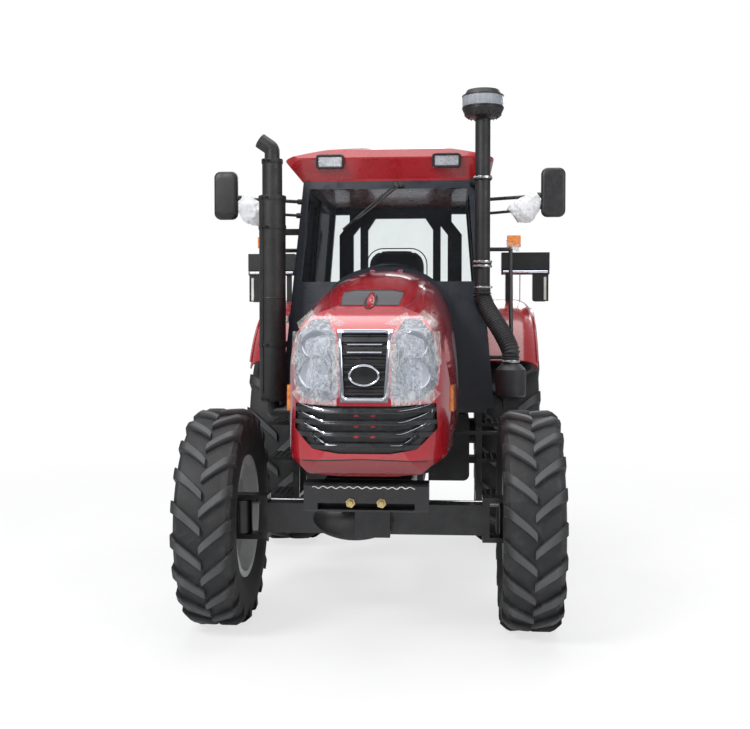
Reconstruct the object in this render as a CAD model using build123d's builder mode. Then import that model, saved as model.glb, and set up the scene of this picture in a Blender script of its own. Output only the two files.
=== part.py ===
from build123d import *
import math
import os

# A farm tractor with a cab and four driven wheels, its front towards -Y, its left side towards +X, Z up.
# The origin is on the ground, under the middle of the machine.
os.makedirs("parts", exist_ok=True)

# Wheels and axles
WHEELBASE = 2340
FRONT_AXLE_Y = -1375
REAR_AXLE_Y = FRONT_AXLE_Y + WHEELBASE
FRONT_TRACK = 1640
REAR_TRACK = 1600
FRONT_TYRE_RADIUS = 582
FRONT_TYRE_WIDTH = 307
FRONT_SEAT_RADIUS = 305
FRONT_RIM_HALF = 127
REAR_TYRE_RADIUS = 832
REAR_TYRE_WIDTH = 430
REAR_SEAT_RADIUS = 432
REAR_RIM_HALF = 190
FRONT_X = FRONT_TRACK / 2
REAR_X = REAR_TRACK / 2
FRONT_Z = FRONT_TYRE_RADIUS
REAR_Z = REAR_TYRE_RADIUS

# Tyres: a carcass of flat facets with slanted lugs in two staggered rows
TYRE_FACETS = 18
TREAD_SHARE = 0.80
BULGE_DROP = 74
BEAD_GAP = 0.3
LUGS_PER_SIDE = 20
FRONT_LUG_HEIGHT = 32
REAR_LUG_HEIGHT = 38
LUG_THICKNESS_SHARE = 1.25
LUG_SWEEP = 0.85
LUG_FLAT_SHARE = 0.74
LUG_SLOPE = 1.2
LUG_FOOT_SHARE = 0.90
LUG_FOOT_DROP = 1.4
LUG_ROOT = 6
LUG_OVERHANG = 5

# Rims
RIM_WALL = 8
FLANGE_HEIGHT = 24
WELL_DEPTH = 26
WELL_HALF_SHARE = 0.42
DISC_THICKNESS = 12
HAND_HOLES = 8
FRONT_DISC_X = 52
FRONT_HUB_RADIUS = 112
FRONT_HUB_INNER_X = -26
FRONT_HUB_OUTER_X = 118
FRONT_HAND_HOLE_RADIUS = 26
FRONT_HAND_HOLE_CIRCLE = 210
REAR_DISC_X = -70
REAR_HUB_RADIUS = 130
REAR_HUB_INNER_X = -128
REAR_HUB_OUTER_X = 10
REAR_HAND_HOLE_RADIUS = 34
REAR_HAND_HOLE_CIRCLE = 315
CAP_CHAMFER = 14
SHAFT_FIT = 0.3

# Front axle, kingpins and knuckles
KINGPIN_X = 730
AXLE_BEAM_HEIGHT = 160
AXLE_BEAM_DEPTH = 124
AXLE_BEAM_END_X = 575
DIFFERENTIAL_X = -110
DIFFERENTIAL_HALF = 290
DIFFERENTIAL_RADIUS = 126
PIVOT_RADIUS = 58
YOKE_PLATE = 38
YOKE_HALF_DEPTH = 56
YOKE_EAR = 26
KNUCKLE_RADIUS = 64
KNUCKLE_HALF_HEIGHT = 88
KNUCKLE_GAP = 5
KINGPIN_RADIUS = 20
SPINDLE_BOSS_RADIUS = 82
SPINDLE_SHAFT_RADIUS = 40
STEERING_ARM_LENGTH = 165
STEERING_ARM_HALF_WIDTH = 26
STEERING_ARM_THICKNESS = 22
STEERING_ARM_TOP_Z = 612
STEERING_EYE_RADIUS = 24
STEERING_EYE_HEIGHT = 36
STEERING_EYE_CLEARANCE = 5
STEERING_ROD_RADIUS = 16
STEERING_BARREL_RADIUS = 38
STEERING_BARREL_HALF = 200
STEERING_BRACKET_WIDTH = 30

# Front support, weight bracket, radiator, engine and transmission
SUPPORT_HALF_WIDTH = 215
SUPPORT_FRONT_Y = FRONT_AXLE_Y - 430
SUPPORT_REAR_Y = FRONT_AXLE_Y + 340
SUPPORT_BOTTOM_Z = 690
SUPPORT_TOP_Z = 850
SUPPORT_EAR_HALF_WIDTH = 92
SUPPORT_EAR_BOTTOM_Z = 505
SUPPORT_ARCH_GAP = 20
SUPPORT_EAR_THICKNESS = 42
SUPPORT_EAR_GAP = 12
PROPSHAFT_NOSE_RADIUS = 44
PROPSHAFT_NOSE_LENGTH = 130
BRACKET_HALF_WIDTH = 304
BRACKET_FRONT_Y = FRONT_AXLE_Y - 560
BRACKET_BOTTOM_Z = 704
BRACKET_TOP_Z = 845
BRACKET_SLOT_HALF_WIDTH = 236
BRACKET_SLOT_BOTTOM_Z = 716
BRACKET_SLOT_TOP_Z = 748
BRACKET_CHAMFER = 12
RADIATOR_HALF_WIDTH = 290
RADIATOR_FRONT_Y = FRONT_AXLE_Y - 205
RADIATOR_THICKNESS = 110
RADIATOR_TOP_Z = 1560
ENGINE_HALF_WIDTH = 250
ENGINE_FRONT_Y = FRONT_AXLE_Y + 20
ENGINE_TOP_Z = 1470
SUMP_HALF_WIDTH = 180
SUMP_BOTTOM_Z = 640
GEARBOX_HALF_WIDTH = 230
GEARBOX_BOTTOM_Z = 600
GEARBOX_TOP_Z = 1010
REAR_HOUSING_HALF_WIDTH = 270
REAR_HOUSING_FRONT_Y = REAR_AXLE_Y - 330
REAR_HOUSING_REAR_Y = REAR_AXLE_Y + 300
REAR_HOUSING_BOTTOM_Z = 560
REAR_HOUSING_TOP_Z = 1050
TRUMPET_RADIUS = 96
TRUMPET_END_X = REAR_X + REAR_HUB_INNER_X - 6
REAR_SHAFT_RADIUS = 45
PROPSHAFT_X = DIFFERENTIAL_X
PROPSHAFT_Z = 500
PROPSHAFT_RADIUS = 34
PTO_RADIUS = 17.5
PTO_LENGTH = 90
PTO_Z = 660

# Cab
CAB_FRONT_Y = REAR_AXLE_Y - 1400
CAB_REAR_Y = REAR_AXLE_Y + 300
SILL_Z = 1105
CAB_TOP_Z = 2552
SILL_HALF_WIDTH = 672
TUMBLEHOME = 4.7
WINDSCREEN_RAKE = 8.65
CAB_WALL = 45
POST_WIDTH = 58
HEADER_HEIGHT = 50
SILL_HEIGHT = 35
DOOR_HINGE_Y = REAR_AXLE_Y - 600
DOOR_WAIST_Z = 1700
DOOR_KNEE_Y = REAR_AXLE_Y - 970
DOOR_KNEE_Z = 1390
DOOR_FOOT_Y = REAR_AXLE_Y - 1000
DOOR_GAP = 6
DOOR_THICKNESS = 30
DOOR_RAIL = 42
GLASS_THICKNESS = 5
HINGE_BARREL_RADIUS = 10
HINGE_BARREL_HEIGHT = 55
HINGE_STAND_OFF = 11
HINGE_GAP = 0.3
HINGE_LEAF_THICKNESS = 6
HINGE_LEAF_LENGTH = 46
HINGE_HEIGHTS = (1800, 2380)
QUARTER_FRONT_Y = REAR_AXLE_Y - 530
QUARTER_REAR_Y = REAR_AXLE_Y + 245
SCREEN_BOTTOM_Z = 1900
FIREWALL_TOP_Z = 1900
REAR_SILL_Z = 1950
REAR_HEADER_Z = 2470
REAR_POST_INNER_X = 370
REAR_POST_OUTER_X = 480
WINDOW_BAR_INNER_X = 255
WINDOW_BAR_OUTER_X = 315
FLOOR_THICKNESS = 30
PLATFORM_Z = 1200
PLATFORM_FRONT_Y = REAR_AXLE_Y - 900
COWL_SCALE = 1.05
COWL_FRONT_GAP = 30
COWL_REAR_Y = CAB_FRONT_Y + 110

# Roof
ROOF_FRONT_Y = REAR_AXLE_Y - 1240
ROOF_REAR_Y = REAR_AXLE_Y + 430
ROOF_HALF_WIDTH = 678
ROOF_BASE_HALF_WIDTH = 572
ROOF_CROWN_Z = 2782
ROOF_SHOULDER_Z = 2692
ROOF_SIDE_BASE_Z = 2566
ROOF_CORNER = 110
ROOF_TRIM = 3
ROOF_LAMP_X = 372
ROOF_LAMP_Z = 2668
ROOF_LAMP_WIDTH = 172
ROOF_LAMP_HEIGHT = 84
ROOF_LAMP_DEPTH = 60
ROOF_LAMP_PROUD = 12

# Fenders, rear lamps, marker lamps, mirrors
FENDER_RADIUS = 980
FENDER_SHEET = 12
FENDER_INNER_X = 543
FENDER_CROWN_X = 870
FENDER_EDGE_RADIUS = 130
FENDER_FRONT_ANGLE = 56
FENDER_REAR_ANGLE = 62
FENDER_WALL_RADIUS = 560
FENDER_GAP = 0.3
REAR_LAMP_Y = REAR_AXLE_Y - 140
REAR_LAMP_DEPTH = 90
REAR_LAMP_BAR_X = (770, 1120)
REAR_LAMP_BAR_Z = (2040, 2165)
REAR_LAMP_BOX_X = (1000, 1112)
REAR_LAMP_BOX_Z = (1795, 2005)
REAR_LAMP_RAIL_Z = (2005, 2040)
REAR_LAMP_LEG_X = (800, 832)
MARKER_X = 800
MARKER_Z = 2155
MARKER_WIDTH = 84
MARKER_HEIGHT = 70
MARKER_DEPTH = 60
MIRROR_Y = CAB_FRONT_Y + 120
MIRROR_THICKNESS = 45
MIRROR_X = (965, 1118)
MIRROR_Z = (2300, 2610)
ARM_RADIUS = 11
MIRROR_ARM_Z = 2360
HANDRAIL_X = 780
HANDRAIL_RADIUS = 13
HANDRAIL_TOP_Z = 2105
HANDRAIL_BOTTOM_Z = 1420

# Exhaust, air intake and air cleaner
EXHAUST_X = -702
EXHAUST_Y = CAB_FRONT_Y - 100
EXHAUST_BOTTOM_Z = 1150
MUFFLER_RADIUS = 82
MUFFLER_TOP_Z = 2420
STACK_RADIUS = 62
STACK_TOP_Z = 2640
TAIL_RADIUS = 47
TAIL_TIP_X = -777
TAIL_TIP_Z = 2762
TAIL_WALL = 4
EXHAUST_BRACKETS = (1500, 2225)
EXHAUST_BRACKET_HALF = 20
EXHAUST_BRACKET_GAP = 0.3
ELBOW_Z = 1085
ELBOW_RADIUS = 38
INTAKE_X = 597
INTAKE_Y = CAB_FRONT_Y - 2
INTAKE_RADIUS = 47
INTAKE_BOTTOM_Z = 1870
INTAKE_TOP_Z = 2890
BOWL_RADIUS = 125
BOWL_BOTTOM_Z = 2896
BOWL_TOP_Z = 3080
CLAMP_HEIGHTS = (2000, 2530)
CLAMP_HEIGHT = 26
CLAMP_GROWTH = 8
HOSE_RADIUS = 56
HOSE_BEND = 115
HOSE_LEAD = 110
CLEANER_X = 764
CLEANER_Y = FRONT_AXLE_Y + 760
CLEANER_RADIUS = 92
CLEANER_BOTTOM_Z = 1190
CLEANER_TOP_Z = 1385
CLEANER_DOME = 34
CLEANER_BRACKET_Z = 960
CLEANER_BRACKET_THICKNESS = 16
CLEANER_BRACKET_WIDTH = 90

# Hood
HOOD_REAR_Y = CAB_FRONT_Y - 20
HOOD_NOSE_Y = FRONT_AXLE_Y - 665
HOOD_SHEET = 8
HOOD_CREST_Z = 1965
HOOD_HINGE_Y = CAB_FRONT_Y - 5
HOOD_HINGE_Z = 1955
HOOD_HINGE_X = 75
HOOD_PIN_RADIUS = 6
PANEL_GAP = 1
FASCIA_DEPTH = 26

# Seat, dashboard and steering wheel
SEAT_Y = REAR_AXLE_Y - 420
SEAT_WIDTH = 480
SEAT_DEPTH = 460
CUSHION_Z = 1600
CUSHION_THICKNESS = 110
BACKREST_TOP_Z = 2205
BACKREST_THICKNESS = 110
DASH_Y = CAB_FRONT_Y + 260
DASH_HALF_WIDTH = 190
DASH_TOP_Z = 1840
STEERING_WHEEL_RADIUS = 215
STEERING_WHEEL_RIM = 15
STEERING_WHEEL_Y = CAB_FRONT_Y + 520
STEERING_WHEEL_Z = 1905
STEERING_WHEEL_TILT = 32

# Steps, side tanks
STEP_HALF_LENGTH = 165
STEP_X = (560, 760)
STEP_HEIGHTS = (520, 760, 985)
STEP_PLATE = 22
STEP_Y = CAB_FRONT_Y + 215
TANK_X = (262, 520)
TANK_Z = (640, 1060)
TANK_LENGTH = 640
TANK_FRONT_Y = CAB_FRONT_Y + 60
TANK_ROUND = 40

# Rear linkage and drawbar
ROCKSHAFT_Y = REAR_AXLE_Y + 265
ROCKSHAFT_Z = 1060
ROCKSHAFT_RADIUS = 34
LIFT_ARM_LENGTH = 270
LIFT_ARM_X = 300
LIFT_ARM_WIDTH = 30
LIFT_ARM_GAP = 0.3
LIFT_ARM_HEIGHT = 62
LIFT_ARM_REST = -10.5
LINK_PIVOT_Y = REAR_AXLE_Y + 180
LINK_PIVOT_Z = 520
LINK_LENGTH = 850
LINK_REST = -3
LINK_FRONT_X = 305
LINK_REAR_X = 410
LINK_WIDTH = 26
LINK_HEIGHT = 64
LINK_BALL_RADIUS = 42
LINK_BALL_WIDTH = 44
LINK_BALL_HOLE = 14.2
LINK_PIN_RADIUS = 16
LIFT_POINT = 420
LIFT_ROD_RADIUS = 15
LIFT_ROD_EYE_RADIUS = 30
LIFT_ROD_EYE_WIDTH = 22
DRAWBAR_HALF_WIDTH = 40
DRAWBAR_Z = (385, 415)
DRAWBAR_END_Y = REAR_AXLE_Y + 640
DRAWBAR_START_Y = REAR_AXLE_Y - 60
DRAWBAR_HOLE = 16.5


def save(part, name):
    """Labels a finished piece and writes it to its own file."""
    part.label = name
    export_step(part, f"parts/{name}.step")


def block(x_range, y_range, z_range, mode=Mode.ADD):
    """A rectangular block between the given limits, in the part being built."""
    lows = [min(r) for r in (x_range, y_range, z_range)]
    highs = [max(r) for r in (x_range, y_range, z_range)]
    middle = [(low + high) / 2 for low, high in zip(lows, highs)]
    with Locations(tuple(middle)):
        Box(*[high - low for low, high in zip(lows, highs)], mode=mode)


def rod(start, end, radius, mode=Mode.ADD):
    """A round bar from one point to another, in the part being built."""
    line = Vector(*end) - Vector(*start)
    with BuildSketch(Plane(origin=start, z_dir=line)) as section:
        Circle(radius)
    extrude(section.sketch, amount=line.length, mode=mode)


def side_plane(side, x, y, z):
    """A plane seen from above, its x axis pointing outboard on that side of the machine."""
    return Plane(origin=(x, y, z), x_dir=(side, 0, 0), z_dir=(0, 0, side))


def end_plane(y):
    """An upright plane across the machine, its x axis to +X and its y axis up."""
    return Plane(origin=(0, y, 0), x_dir=(1, 0, 0), z_dir=(0, -1, 0))


# Tyres
def spoke_plane(angle):
    """The plane through the X axis at an angle from the top: x across the wheel, y outwards."""
    turn = math.radians(angle)
    radial = Vector(0, -math.sin(turn), math.cos(turn))
    return Plane(origin=(0, 0, 0), x_dir=(1, 0, 0), z_dir=Vector(1, 0, 0).cross(radial))


def carcass_wedge(width, tread_radius, seat, bead_half):
    """One facet's wedge of a tyre's carcass, about the X axis."""
    bead_x = bead_half - RIM_WALL - BEAD_GAP
    bore = (seat + BEAD_GAP) / math.cos(math.pi / TYRE_FACETS)
    outline = [
        (bead_x, bore),
        (bead_x, (seat + FLANGE_HEIGHT + BEAD_GAP) / math.cos(math.pi / TYRE_FACETS)),
        (width / 2, tread_radius - BULGE_DROP),
        (width / 2 * TREAD_SHARE, tread_radius),
    ]
    points = outline + [(-across, r) for across, r in reversed(outline)]
    with BuildPart() as wedge:
        for angle in (0, 360 / TYRE_FACETS):
            with BuildSketch(spoke_plane(angle)):
                Polygon(*points, align=None)
        loft(ruled=True)
    return wedge.part


def tyre_lug(side, width, radius, lug_height):
    """One lug at the top of a tyre, on one side of its middle."""
    half = width / 2
    reach = half + LUG_OVERHANG
    lead = -reach / 2
    trail = lead + reach * LUG_SWEEP
    spread = lug_height * LUG_THICKNESS_SHARE * math.hypot(1, LUG_SWEEP) / 2
    flat = math.sqrt(radius ** 2 - (spread - lead) ** 2)
    base = (radius - lug_height) * math.cos(math.pi / TYRE_FACETS) - LUG_ROOT
    profile = [
        (-LUG_ROOT, base),
        (-LUG_ROOT, flat),
        (half * LUG_FLAT_SHARE, flat),
        (half, flat - lug_height * LUG_SLOPE),
        (half * LUG_FOOT_SHARE, base - lug_height * LUG_FOOT_DROP),
    ]
    footprint = [(-LUG_ROOT, lead - spread), (reach, trail - spread), (reach, trail + spread), (-LUG_ROOT, lead + spread)]
    with BuildPart() as lug:
        with BuildSketch(Plane.XZ):
            Polygon(*[(side * x, z) for x, z in profile], align=None)
        extrude(amount=radius, both=True)
        with BuildSketch(Plane.XY):
            Polygon(*[(side * x, y) for x, y in footprint], align=None)
        extrude(amount=2 * radius, mode=Mode.INTERSECT)
    return lug.part


def tyre(x, y, z, width, radius, seat, bead_half, lug_height):
    """One tyre of the left side, with its lugs."""
    axle = Axis((0, 0, 0), (1, 0, 0))
    wedge = carcass_wedge(width, radius - lug_height, seat, bead_half)
    wedges = [wedge.rotate(axis=axle, angle=360 / TYRE_FACETS * index) for index in range(TYRE_FACETS)]
    with BuildPart() as carcass:
        add(wedges)
    lugs = []
    for side, start in ((1, 0), (-1, 0.5)):
        lug = tyre_lug(side, width, radius, lug_height)
        lugs += [lug.rotate(axis=axle, angle=360 / LUGS_PER_SIDE * (index + start)) for index in range(LUGS_PER_SIDE)]
    with BuildPart() as piece:
        add(carcass.part)
        add(lugs)
    return piece.part.moved(Location((x, y, z)))


# Rims with their discs and hubs
def rim(side, x, y, z, seat, half, disc_x, hub, holes, shaft_radius):
    """One rim with its disc and hub: hub is (radius, inner x, outer x), holes is (radius, circle)."""
    hub_radius, hub_inner, hub_outer = hub
    hole_radius, hole_circle = holes
    well = half * WELL_HALF_SHARE
    barrel = [
        (-half, seat + FLANGE_HEIGHT),
        (-half + RIM_WALL, seat + FLANGE_HEIGHT),
        (-half + RIM_WALL, seat),
        (-well - WELL_DEPTH, seat),
        (-well, seat - WELL_DEPTH),
        (well, seat - WELL_DEPTH),
        (well + WELL_DEPTH, seat),
        (half - RIM_WALL, seat),
        (half - RIM_WALL, seat + FLANGE_HEIGHT),
        (half, seat + FLANGE_HEIGHT),
        (half, seat - RIM_WALL),
        (well + WELL_DEPTH, seat - RIM_WALL),
        (well, seat - WELL_DEPTH - RIM_WALL),
        (-well, seat - WELL_DEPTH - RIM_WALL),
        (-well - WELL_DEPTH, seat - RIM_WALL),
        (-half, seat - RIM_WALL),
    ]
    disc_edge = seat - WELL_DEPTH - RIM_WALL / 2 if abs(disc_x) < well else seat - RIM_WALL / 2
    disc = [
        (disc_x, 0),
        (disc_x, hub_radius + CAP_CHAMFER),
        (disc_x + side_sign(disc_x) * -DISC_THICKNESS, disc_edge),
        (disc_x + side_sign(disc_x) * -DISC_THICKNESS + DISC_THICKNESS, disc_edge),
        (disc_x + DISC_THICKNESS, hub_radius + CAP_CHAMFER),
        (disc_x + DISC_THICKNESS, 0),
    ]
    cap = [
        (hub_inner, 0),
        (hub_inner, hub_radius * 0.8),
        (hub_inner + CAP_CHAMFER, hub_radius),
        (hub_outer - CAP_CHAMFER, hub_radius),
        (hub_outer, hub_radius * 0.8),
        (hub_outer, 0),
    ]
    plane = side_plane(side, x, y, z)
    axis = Axis((x, y, z), (1, 0, 0))
    with BuildPart() as piece:
        for outline in (barrel, disc, cap):
            with BuildSketch(plane):
                Polygon(*outline, align=None)
            revolve(axis=axis)
        with BuildSketch(Plane(origin=(x, y, z), z_dir=(side, 0, 0)).offset(disc_x - 2 * DISC_THICKNESS)):
            with PolarLocations(hole_circle, HAND_HOLES):
                Circle(hole_radius)
        extrude(amount=4 * DISC_THICKNESS, mode=Mode.SUBTRACT)
        bore_end = hub_outer - 2 * CAP_CHAMFER
        with BuildSketch(Plane(origin=(x, y, z), z_dir=(side, 0, 0)).offset(hub_inner)):
            Circle(shaft_radius + SHAFT_FIT)
        extrude(amount=bore_end - hub_inner, mode=Mode.SUBTRACT)
    return piece.part


def side_sign(value):
    """1 for a positive value and -1 for a negative one."""
    return 1 if value > 0 else -1


FRONT_HUB = (FRONT_HUB_RADIUS, FRONT_HUB_INNER_X, FRONT_HUB_OUTER_X)
REAR_HUB = (REAR_HUB_RADIUS, REAR_HUB_INNER_X, REAR_HUB_OUTER_X)
FRONT_HOLES = (FRONT_HAND_HOLE_RADIUS, FRONT_HAND_HOLE_CIRCLE)
REAR_HOLES = (REAR_HAND_HOLE_RADIUS, REAR_HAND_HOLE_CIRCLE)
front_tyre = tyre(
    FRONT_X, FRONT_AXLE_Y, FRONT_Z, FRONT_TYRE_WIDTH, FRONT_TYRE_RADIUS, FRONT_SEAT_RADIUS, FRONT_RIM_HALF,
    FRONT_LUG_HEIGHT,
)
rear_tyre = tyre(
    REAR_X, REAR_AXLE_Y, REAR_Z, REAR_TYRE_WIDTH, REAR_TYRE_RADIUS, REAR_SEAT_RADIUS, REAR_RIM_HALF, REAR_LUG_HEIGHT
)
for left_tyre, place in ((front_tyre, "front"), (rear_tyre, "rear")):
    save(left_tyre, f"tyre_{place}_left")
    with BuildPart() as right_tyre:
        mirror(left_tyre, about=Plane.YZ)
    save(right_tyre.part, f"tyre_{place}_right")
for side, name in ((1, "left"), (-1, "right")):
    front_place = (side * FRONT_X, FRONT_AXLE_Y, FRONT_Z)
    rear_place = (side * REAR_X, REAR_AXLE_Y, REAR_Z)
    front_rim = rim(
        side, *front_place, FRONT_SEAT_RADIUS, FRONT_RIM_HALF, FRONT_DISC_X, FRONT_HUB, FRONT_HOLES,
        SPINDLE_SHAFT_RADIUS,
    )
    save(front_rim, f"rim_front_{name}")
    rear_rim = rim(
        side, *rear_place, REAR_SEAT_RADIUS, REAR_RIM_HALF, REAR_DISC_X, REAR_HUB, REAR_HOLES,
        REAR_SHAFT_RADIUS,
    )
    save(rear_rim, f"rim_rear_{name}")

# Front axle beam with its differential, kingpin yokes and the barrel of the steering cylinder
steering_y = FRONT_AXLE_Y + STEERING_ARM_LENGTH
front_ear_y = FRONT_AXLE_Y - DIFFERENTIAL_RADIUS - SUPPORT_EAR_GAP / 2
rear_ear_y = FRONT_AXLE_Y + AXLE_BEAM_DEPTH / 2 + SUPPORT_EAR_GAP
rod_z = STEERING_ARM_TOP_Z + STEERING_EYE_CLEARANCE + STEERING_EYE_HEIGHT / 2
beam_half = AXLE_BEAM_HEIGHT / 2
ear_inner_z = KNUCKLE_HALF_HEIGHT + KNUCKLE_GAP
with BuildPart() as front_axle:
    block(
        (-AXLE_BEAM_END_X, AXLE_BEAM_END_X),
        (FRONT_AXLE_Y - AXLE_BEAM_DEPTH / 2, FRONT_AXLE_Y + AXLE_BEAM_DEPTH / 2),
        (FRONT_Z - beam_half, FRONT_Z + beam_half),
    )
    lens_low = (DIFFERENTIAL_X - DIFFERENTIAL_HALF, FRONT_Z)
    lens_high = (DIFFERENTIAL_X + DIFFERENTIAL_HALF, FRONT_Z)
    with BuildSketch(end_plane(FRONT_AXLE_Y)):
        with BuildLine():
            ThreePointArc(lens_low, (DIFFERENTIAL_X, FRONT_Z + DIFFERENTIAL_RADIUS), lens_high)
            Line(lens_high, lens_low)
        make_face()
    revolve(axis=Axis((0, FRONT_AXLE_Y, FRONT_Z), (1, 0, 0)), revolution_arc=180)
    with BuildSketch(end_plane(FRONT_AXLE_Y + AXLE_BEAM_DEPTH / 2)):
        with BuildLine():
            ThreePointArc(lens_low, (DIFFERENTIAL_X, FRONT_Z + DIFFERENTIAL_RADIUS), lens_high)
            ThreePointArc(lens_high, (DIFFERENTIAL_X, FRONT_Z - DIFFERENTIAL_RADIUS), lens_low)
        make_face()
    extrude(amount=AXLE_BEAM_DEPTH / 2)
    rod(
        (PROPSHAFT_X, FRONT_AXLE_Y, PROPSHAFT_Z),
        (PROPSHAFT_X, FRONT_AXLE_Y + PROPSHAFT_NOSE_LENGTH, PROPSHAFT_Z),
        PROPSHAFT_NOSE_RADIUS,
    )
    rod((0, front_ear_y - SUPPORT_EAR_THICKNESS, FRONT_Z), (0, rear_ear_y + SUPPORT_EAR_THICKNESS, FRONT_Z),
        PIVOT_RADIUS)
    for side in (1, -1):
        block(
            (side * AXLE_BEAM_END_X, side * (AXLE_BEAM_END_X + YOKE_PLATE)),
            (FRONT_AXLE_Y - YOKE_HALF_DEPTH, FRONT_AXLE_Y + YOKE_HALF_DEPTH),
            (FRONT_Z - ear_inner_z - YOKE_EAR, FRONT_Z + ear_inner_z + YOKE_EAR),
        )
        for end in (1, -1):
            block(
                (side * AXLE_BEAM_END_X, side * KINGPIN_X),
                (FRONT_AXLE_Y - YOKE_HALF_DEPTH, FRONT_AXLE_Y + YOKE_HALF_DEPTH),
                (FRONT_Z + end * ear_inner_z, FRONT_Z + end * (ear_inner_z + YOKE_EAR)),
            )
            rod(
                (side * KINGPIN_X, FRONT_AXLE_Y, FRONT_Z + end * ear_inner_z),
                (side * KINGPIN_X, FRONT_AXLE_Y, FRONT_Z + end * (ear_inner_z + YOKE_EAR)),
                YOKE_HALF_DEPTH,
            )
            rod(
                (side * KINGPIN_X, FRONT_AXLE_Y, FRONT_Z + end * (KNUCKLE_HALF_HEIGHT - YOKE_EAR)),
                (side * KINGPIN_X, FRONT_AXLE_Y, FRONT_Z + end * (ear_inner_z + YOKE_EAR / 2)),
                KINGPIN_RADIUS,
            )
        bracket_x = STEERING_BARREL_HALF - STEERING_BRACKET_WIDTH
        block(
            (side * bracket_x, side * STEERING_BARREL_HALF),
            (FRONT_AXLE_Y, steering_y),
            (rod_z - STEERING_BARREL_RADIUS * 0.7, rod_z + STEERING_BARREL_RADIUS * 0.5),
        )
    rod((-STEERING_BARREL_HALF, steering_y, rod_z), (STEERING_BARREL_HALF, steering_y, rod_z),
        STEERING_BARREL_RADIUS)
    rod((-STEERING_BARREL_HALF, steering_y, rod_z), (STEERING_BARREL_HALF, steering_y, rod_z),
        STEERING_ROD_RADIUS + SHAFT_FIT, mode=Mode.SUBTRACT)
save(front_axle.part, "front_axle")

# Steering rod, through the barrel, with an eye over each steering arm
with BuildPart() as steering_rod:
    rod((-KINGPIN_X, steering_y, rod_z), (KINGPIN_X, steering_y, rod_z), STEERING_ROD_RADIUS)
    for side in (1, -1):
        rod(
            (side * KINGPIN_X, steering_y, rod_z - STEERING_EYE_HEIGHT / 2),
            (side * KINGPIN_X, steering_y, rod_z + STEERING_EYE_HEIGHT / 2),
            STEERING_EYE_RADIUS,
        )
save(steering_rod.part, "steering_rod")

# Knuckles that swivel on the kingpins and carry the front wheels
for side, name in ((1, "left"), (-1, "right")):
    boss_end_x = FRONT_X + FRONT_HUB_INNER_X - KNUCKLE_GAP
    shaft_end_x = FRONT_X + FRONT_HUB_OUTER_X - 3 * CAP_CHAMFER
    with BuildPart() as knuckle:
        rod(
            (side * KINGPIN_X, FRONT_AXLE_Y, FRONT_Z - KNUCKLE_HALF_HEIGHT),
            (side * KINGPIN_X, FRONT_AXLE_Y, FRONT_Z + KNUCKLE_HALF_HEIGHT),
            KNUCKLE_RADIUS,
        )
        rod((side * KINGPIN_X, FRONT_AXLE_Y, FRONT_Z), (side * boss_end_x, FRONT_AXLE_Y, FRONT_Z),
            SPINDLE_BOSS_RADIUS)
        rod((side * KINGPIN_X, FRONT_AXLE_Y, FRONT_Z), (side * shaft_end_x, FRONT_AXLE_Y, FRONT_Z),
            SPINDLE_SHAFT_RADIUS)
        block(
            (side * (KINGPIN_X - STEERING_ARM_HALF_WIDTH), side * (KINGPIN_X + STEERING_ARM_HALF_WIDTH)),
            (FRONT_AXLE_Y, steering_y),
            (STEERING_ARM_TOP_Z - STEERING_ARM_THICKNESS, STEERING_ARM_TOP_Z),
        )
        rod(
            (side * KINGPIN_X, steering_y, STEERING_ARM_TOP_Z - STEERING_ARM_THICKNESS),
            (side * KINGPIN_X, steering_y, STEERING_ARM_TOP_Z),
            STEERING_ARM_HALF_WIDTH,
        )
        for end in (1, -1):
            rod(
                (side * KINGPIN_X, FRONT_AXLE_Y, FRONT_Z + end * (KNUCKLE_HALF_HEIGHT - YOKE_EAR - SHAFT_FIT)),
                (side * KINGPIN_X, FRONT_AXLE_Y, FRONT_Z + end * KNUCKLE_HALF_HEIGHT),
                KINGPIN_RADIUS + SHAFT_FIT,
                mode=Mode.SUBTRACT,
            )
    save(knuckle.part, f"knuckle_{name}")

# Front support that hangs the axle on its pivot
with BuildPart() as front_support:
    block(
        (-SUPPORT_HALF_WIDTH, SUPPORT_HALF_WIDTH),
        (SUPPORT_FRONT_Y, SUPPORT_REAR_Y),
        (SUPPORT_BOTTOM_Z, SUPPORT_TOP_Z),
    )
    rod(
        (-SUPPORT_HALF_WIDTH, FRONT_AXLE_Y, FRONT_Z),
        (SUPPORT_HALF_WIDTH, FRONT_AXLE_Y, FRONT_Z),
        DIFFERENTIAL_RADIUS + SUPPORT_ARCH_GAP,
        mode=Mode.SUBTRACT,
    )
    for ear_start, end in ((front_ear_y, -1), (rear_ear_y, 1)):
        block(
            (-SUPPORT_EAR_HALF_WIDTH, SUPPORT_EAR_HALF_WIDTH),
            (ear_start, ear_start + end * SUPPORT_EAR_THICKNESS),
            (SUPPORT_EAR_BOTTOM_Z, SUPPORT_TOP_Z),
        )
    rod((0, SUPPORT_FRONT_Y, FRONT_Z), (0, SUPPORT_REAR_Y, FRONT_Z), PIVOT_RADIUS + SHAFT_FIT, mode=Mode.SUBTRACT)
    rod(
        (PROPSHAFT_X, FRONT_AXLE_Y, PROPSHAFT_Z),
        (PROPSHAFT_X, SUPPORT_REAR_Y, PROPSHAFT_Z),
        PROPSHAFT_NOSE_RADIUS + SUPPORT_EAR_GAP,
        mode=Mode.SUBTRACT,
    )
save(front_support.part, "front_support")

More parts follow.
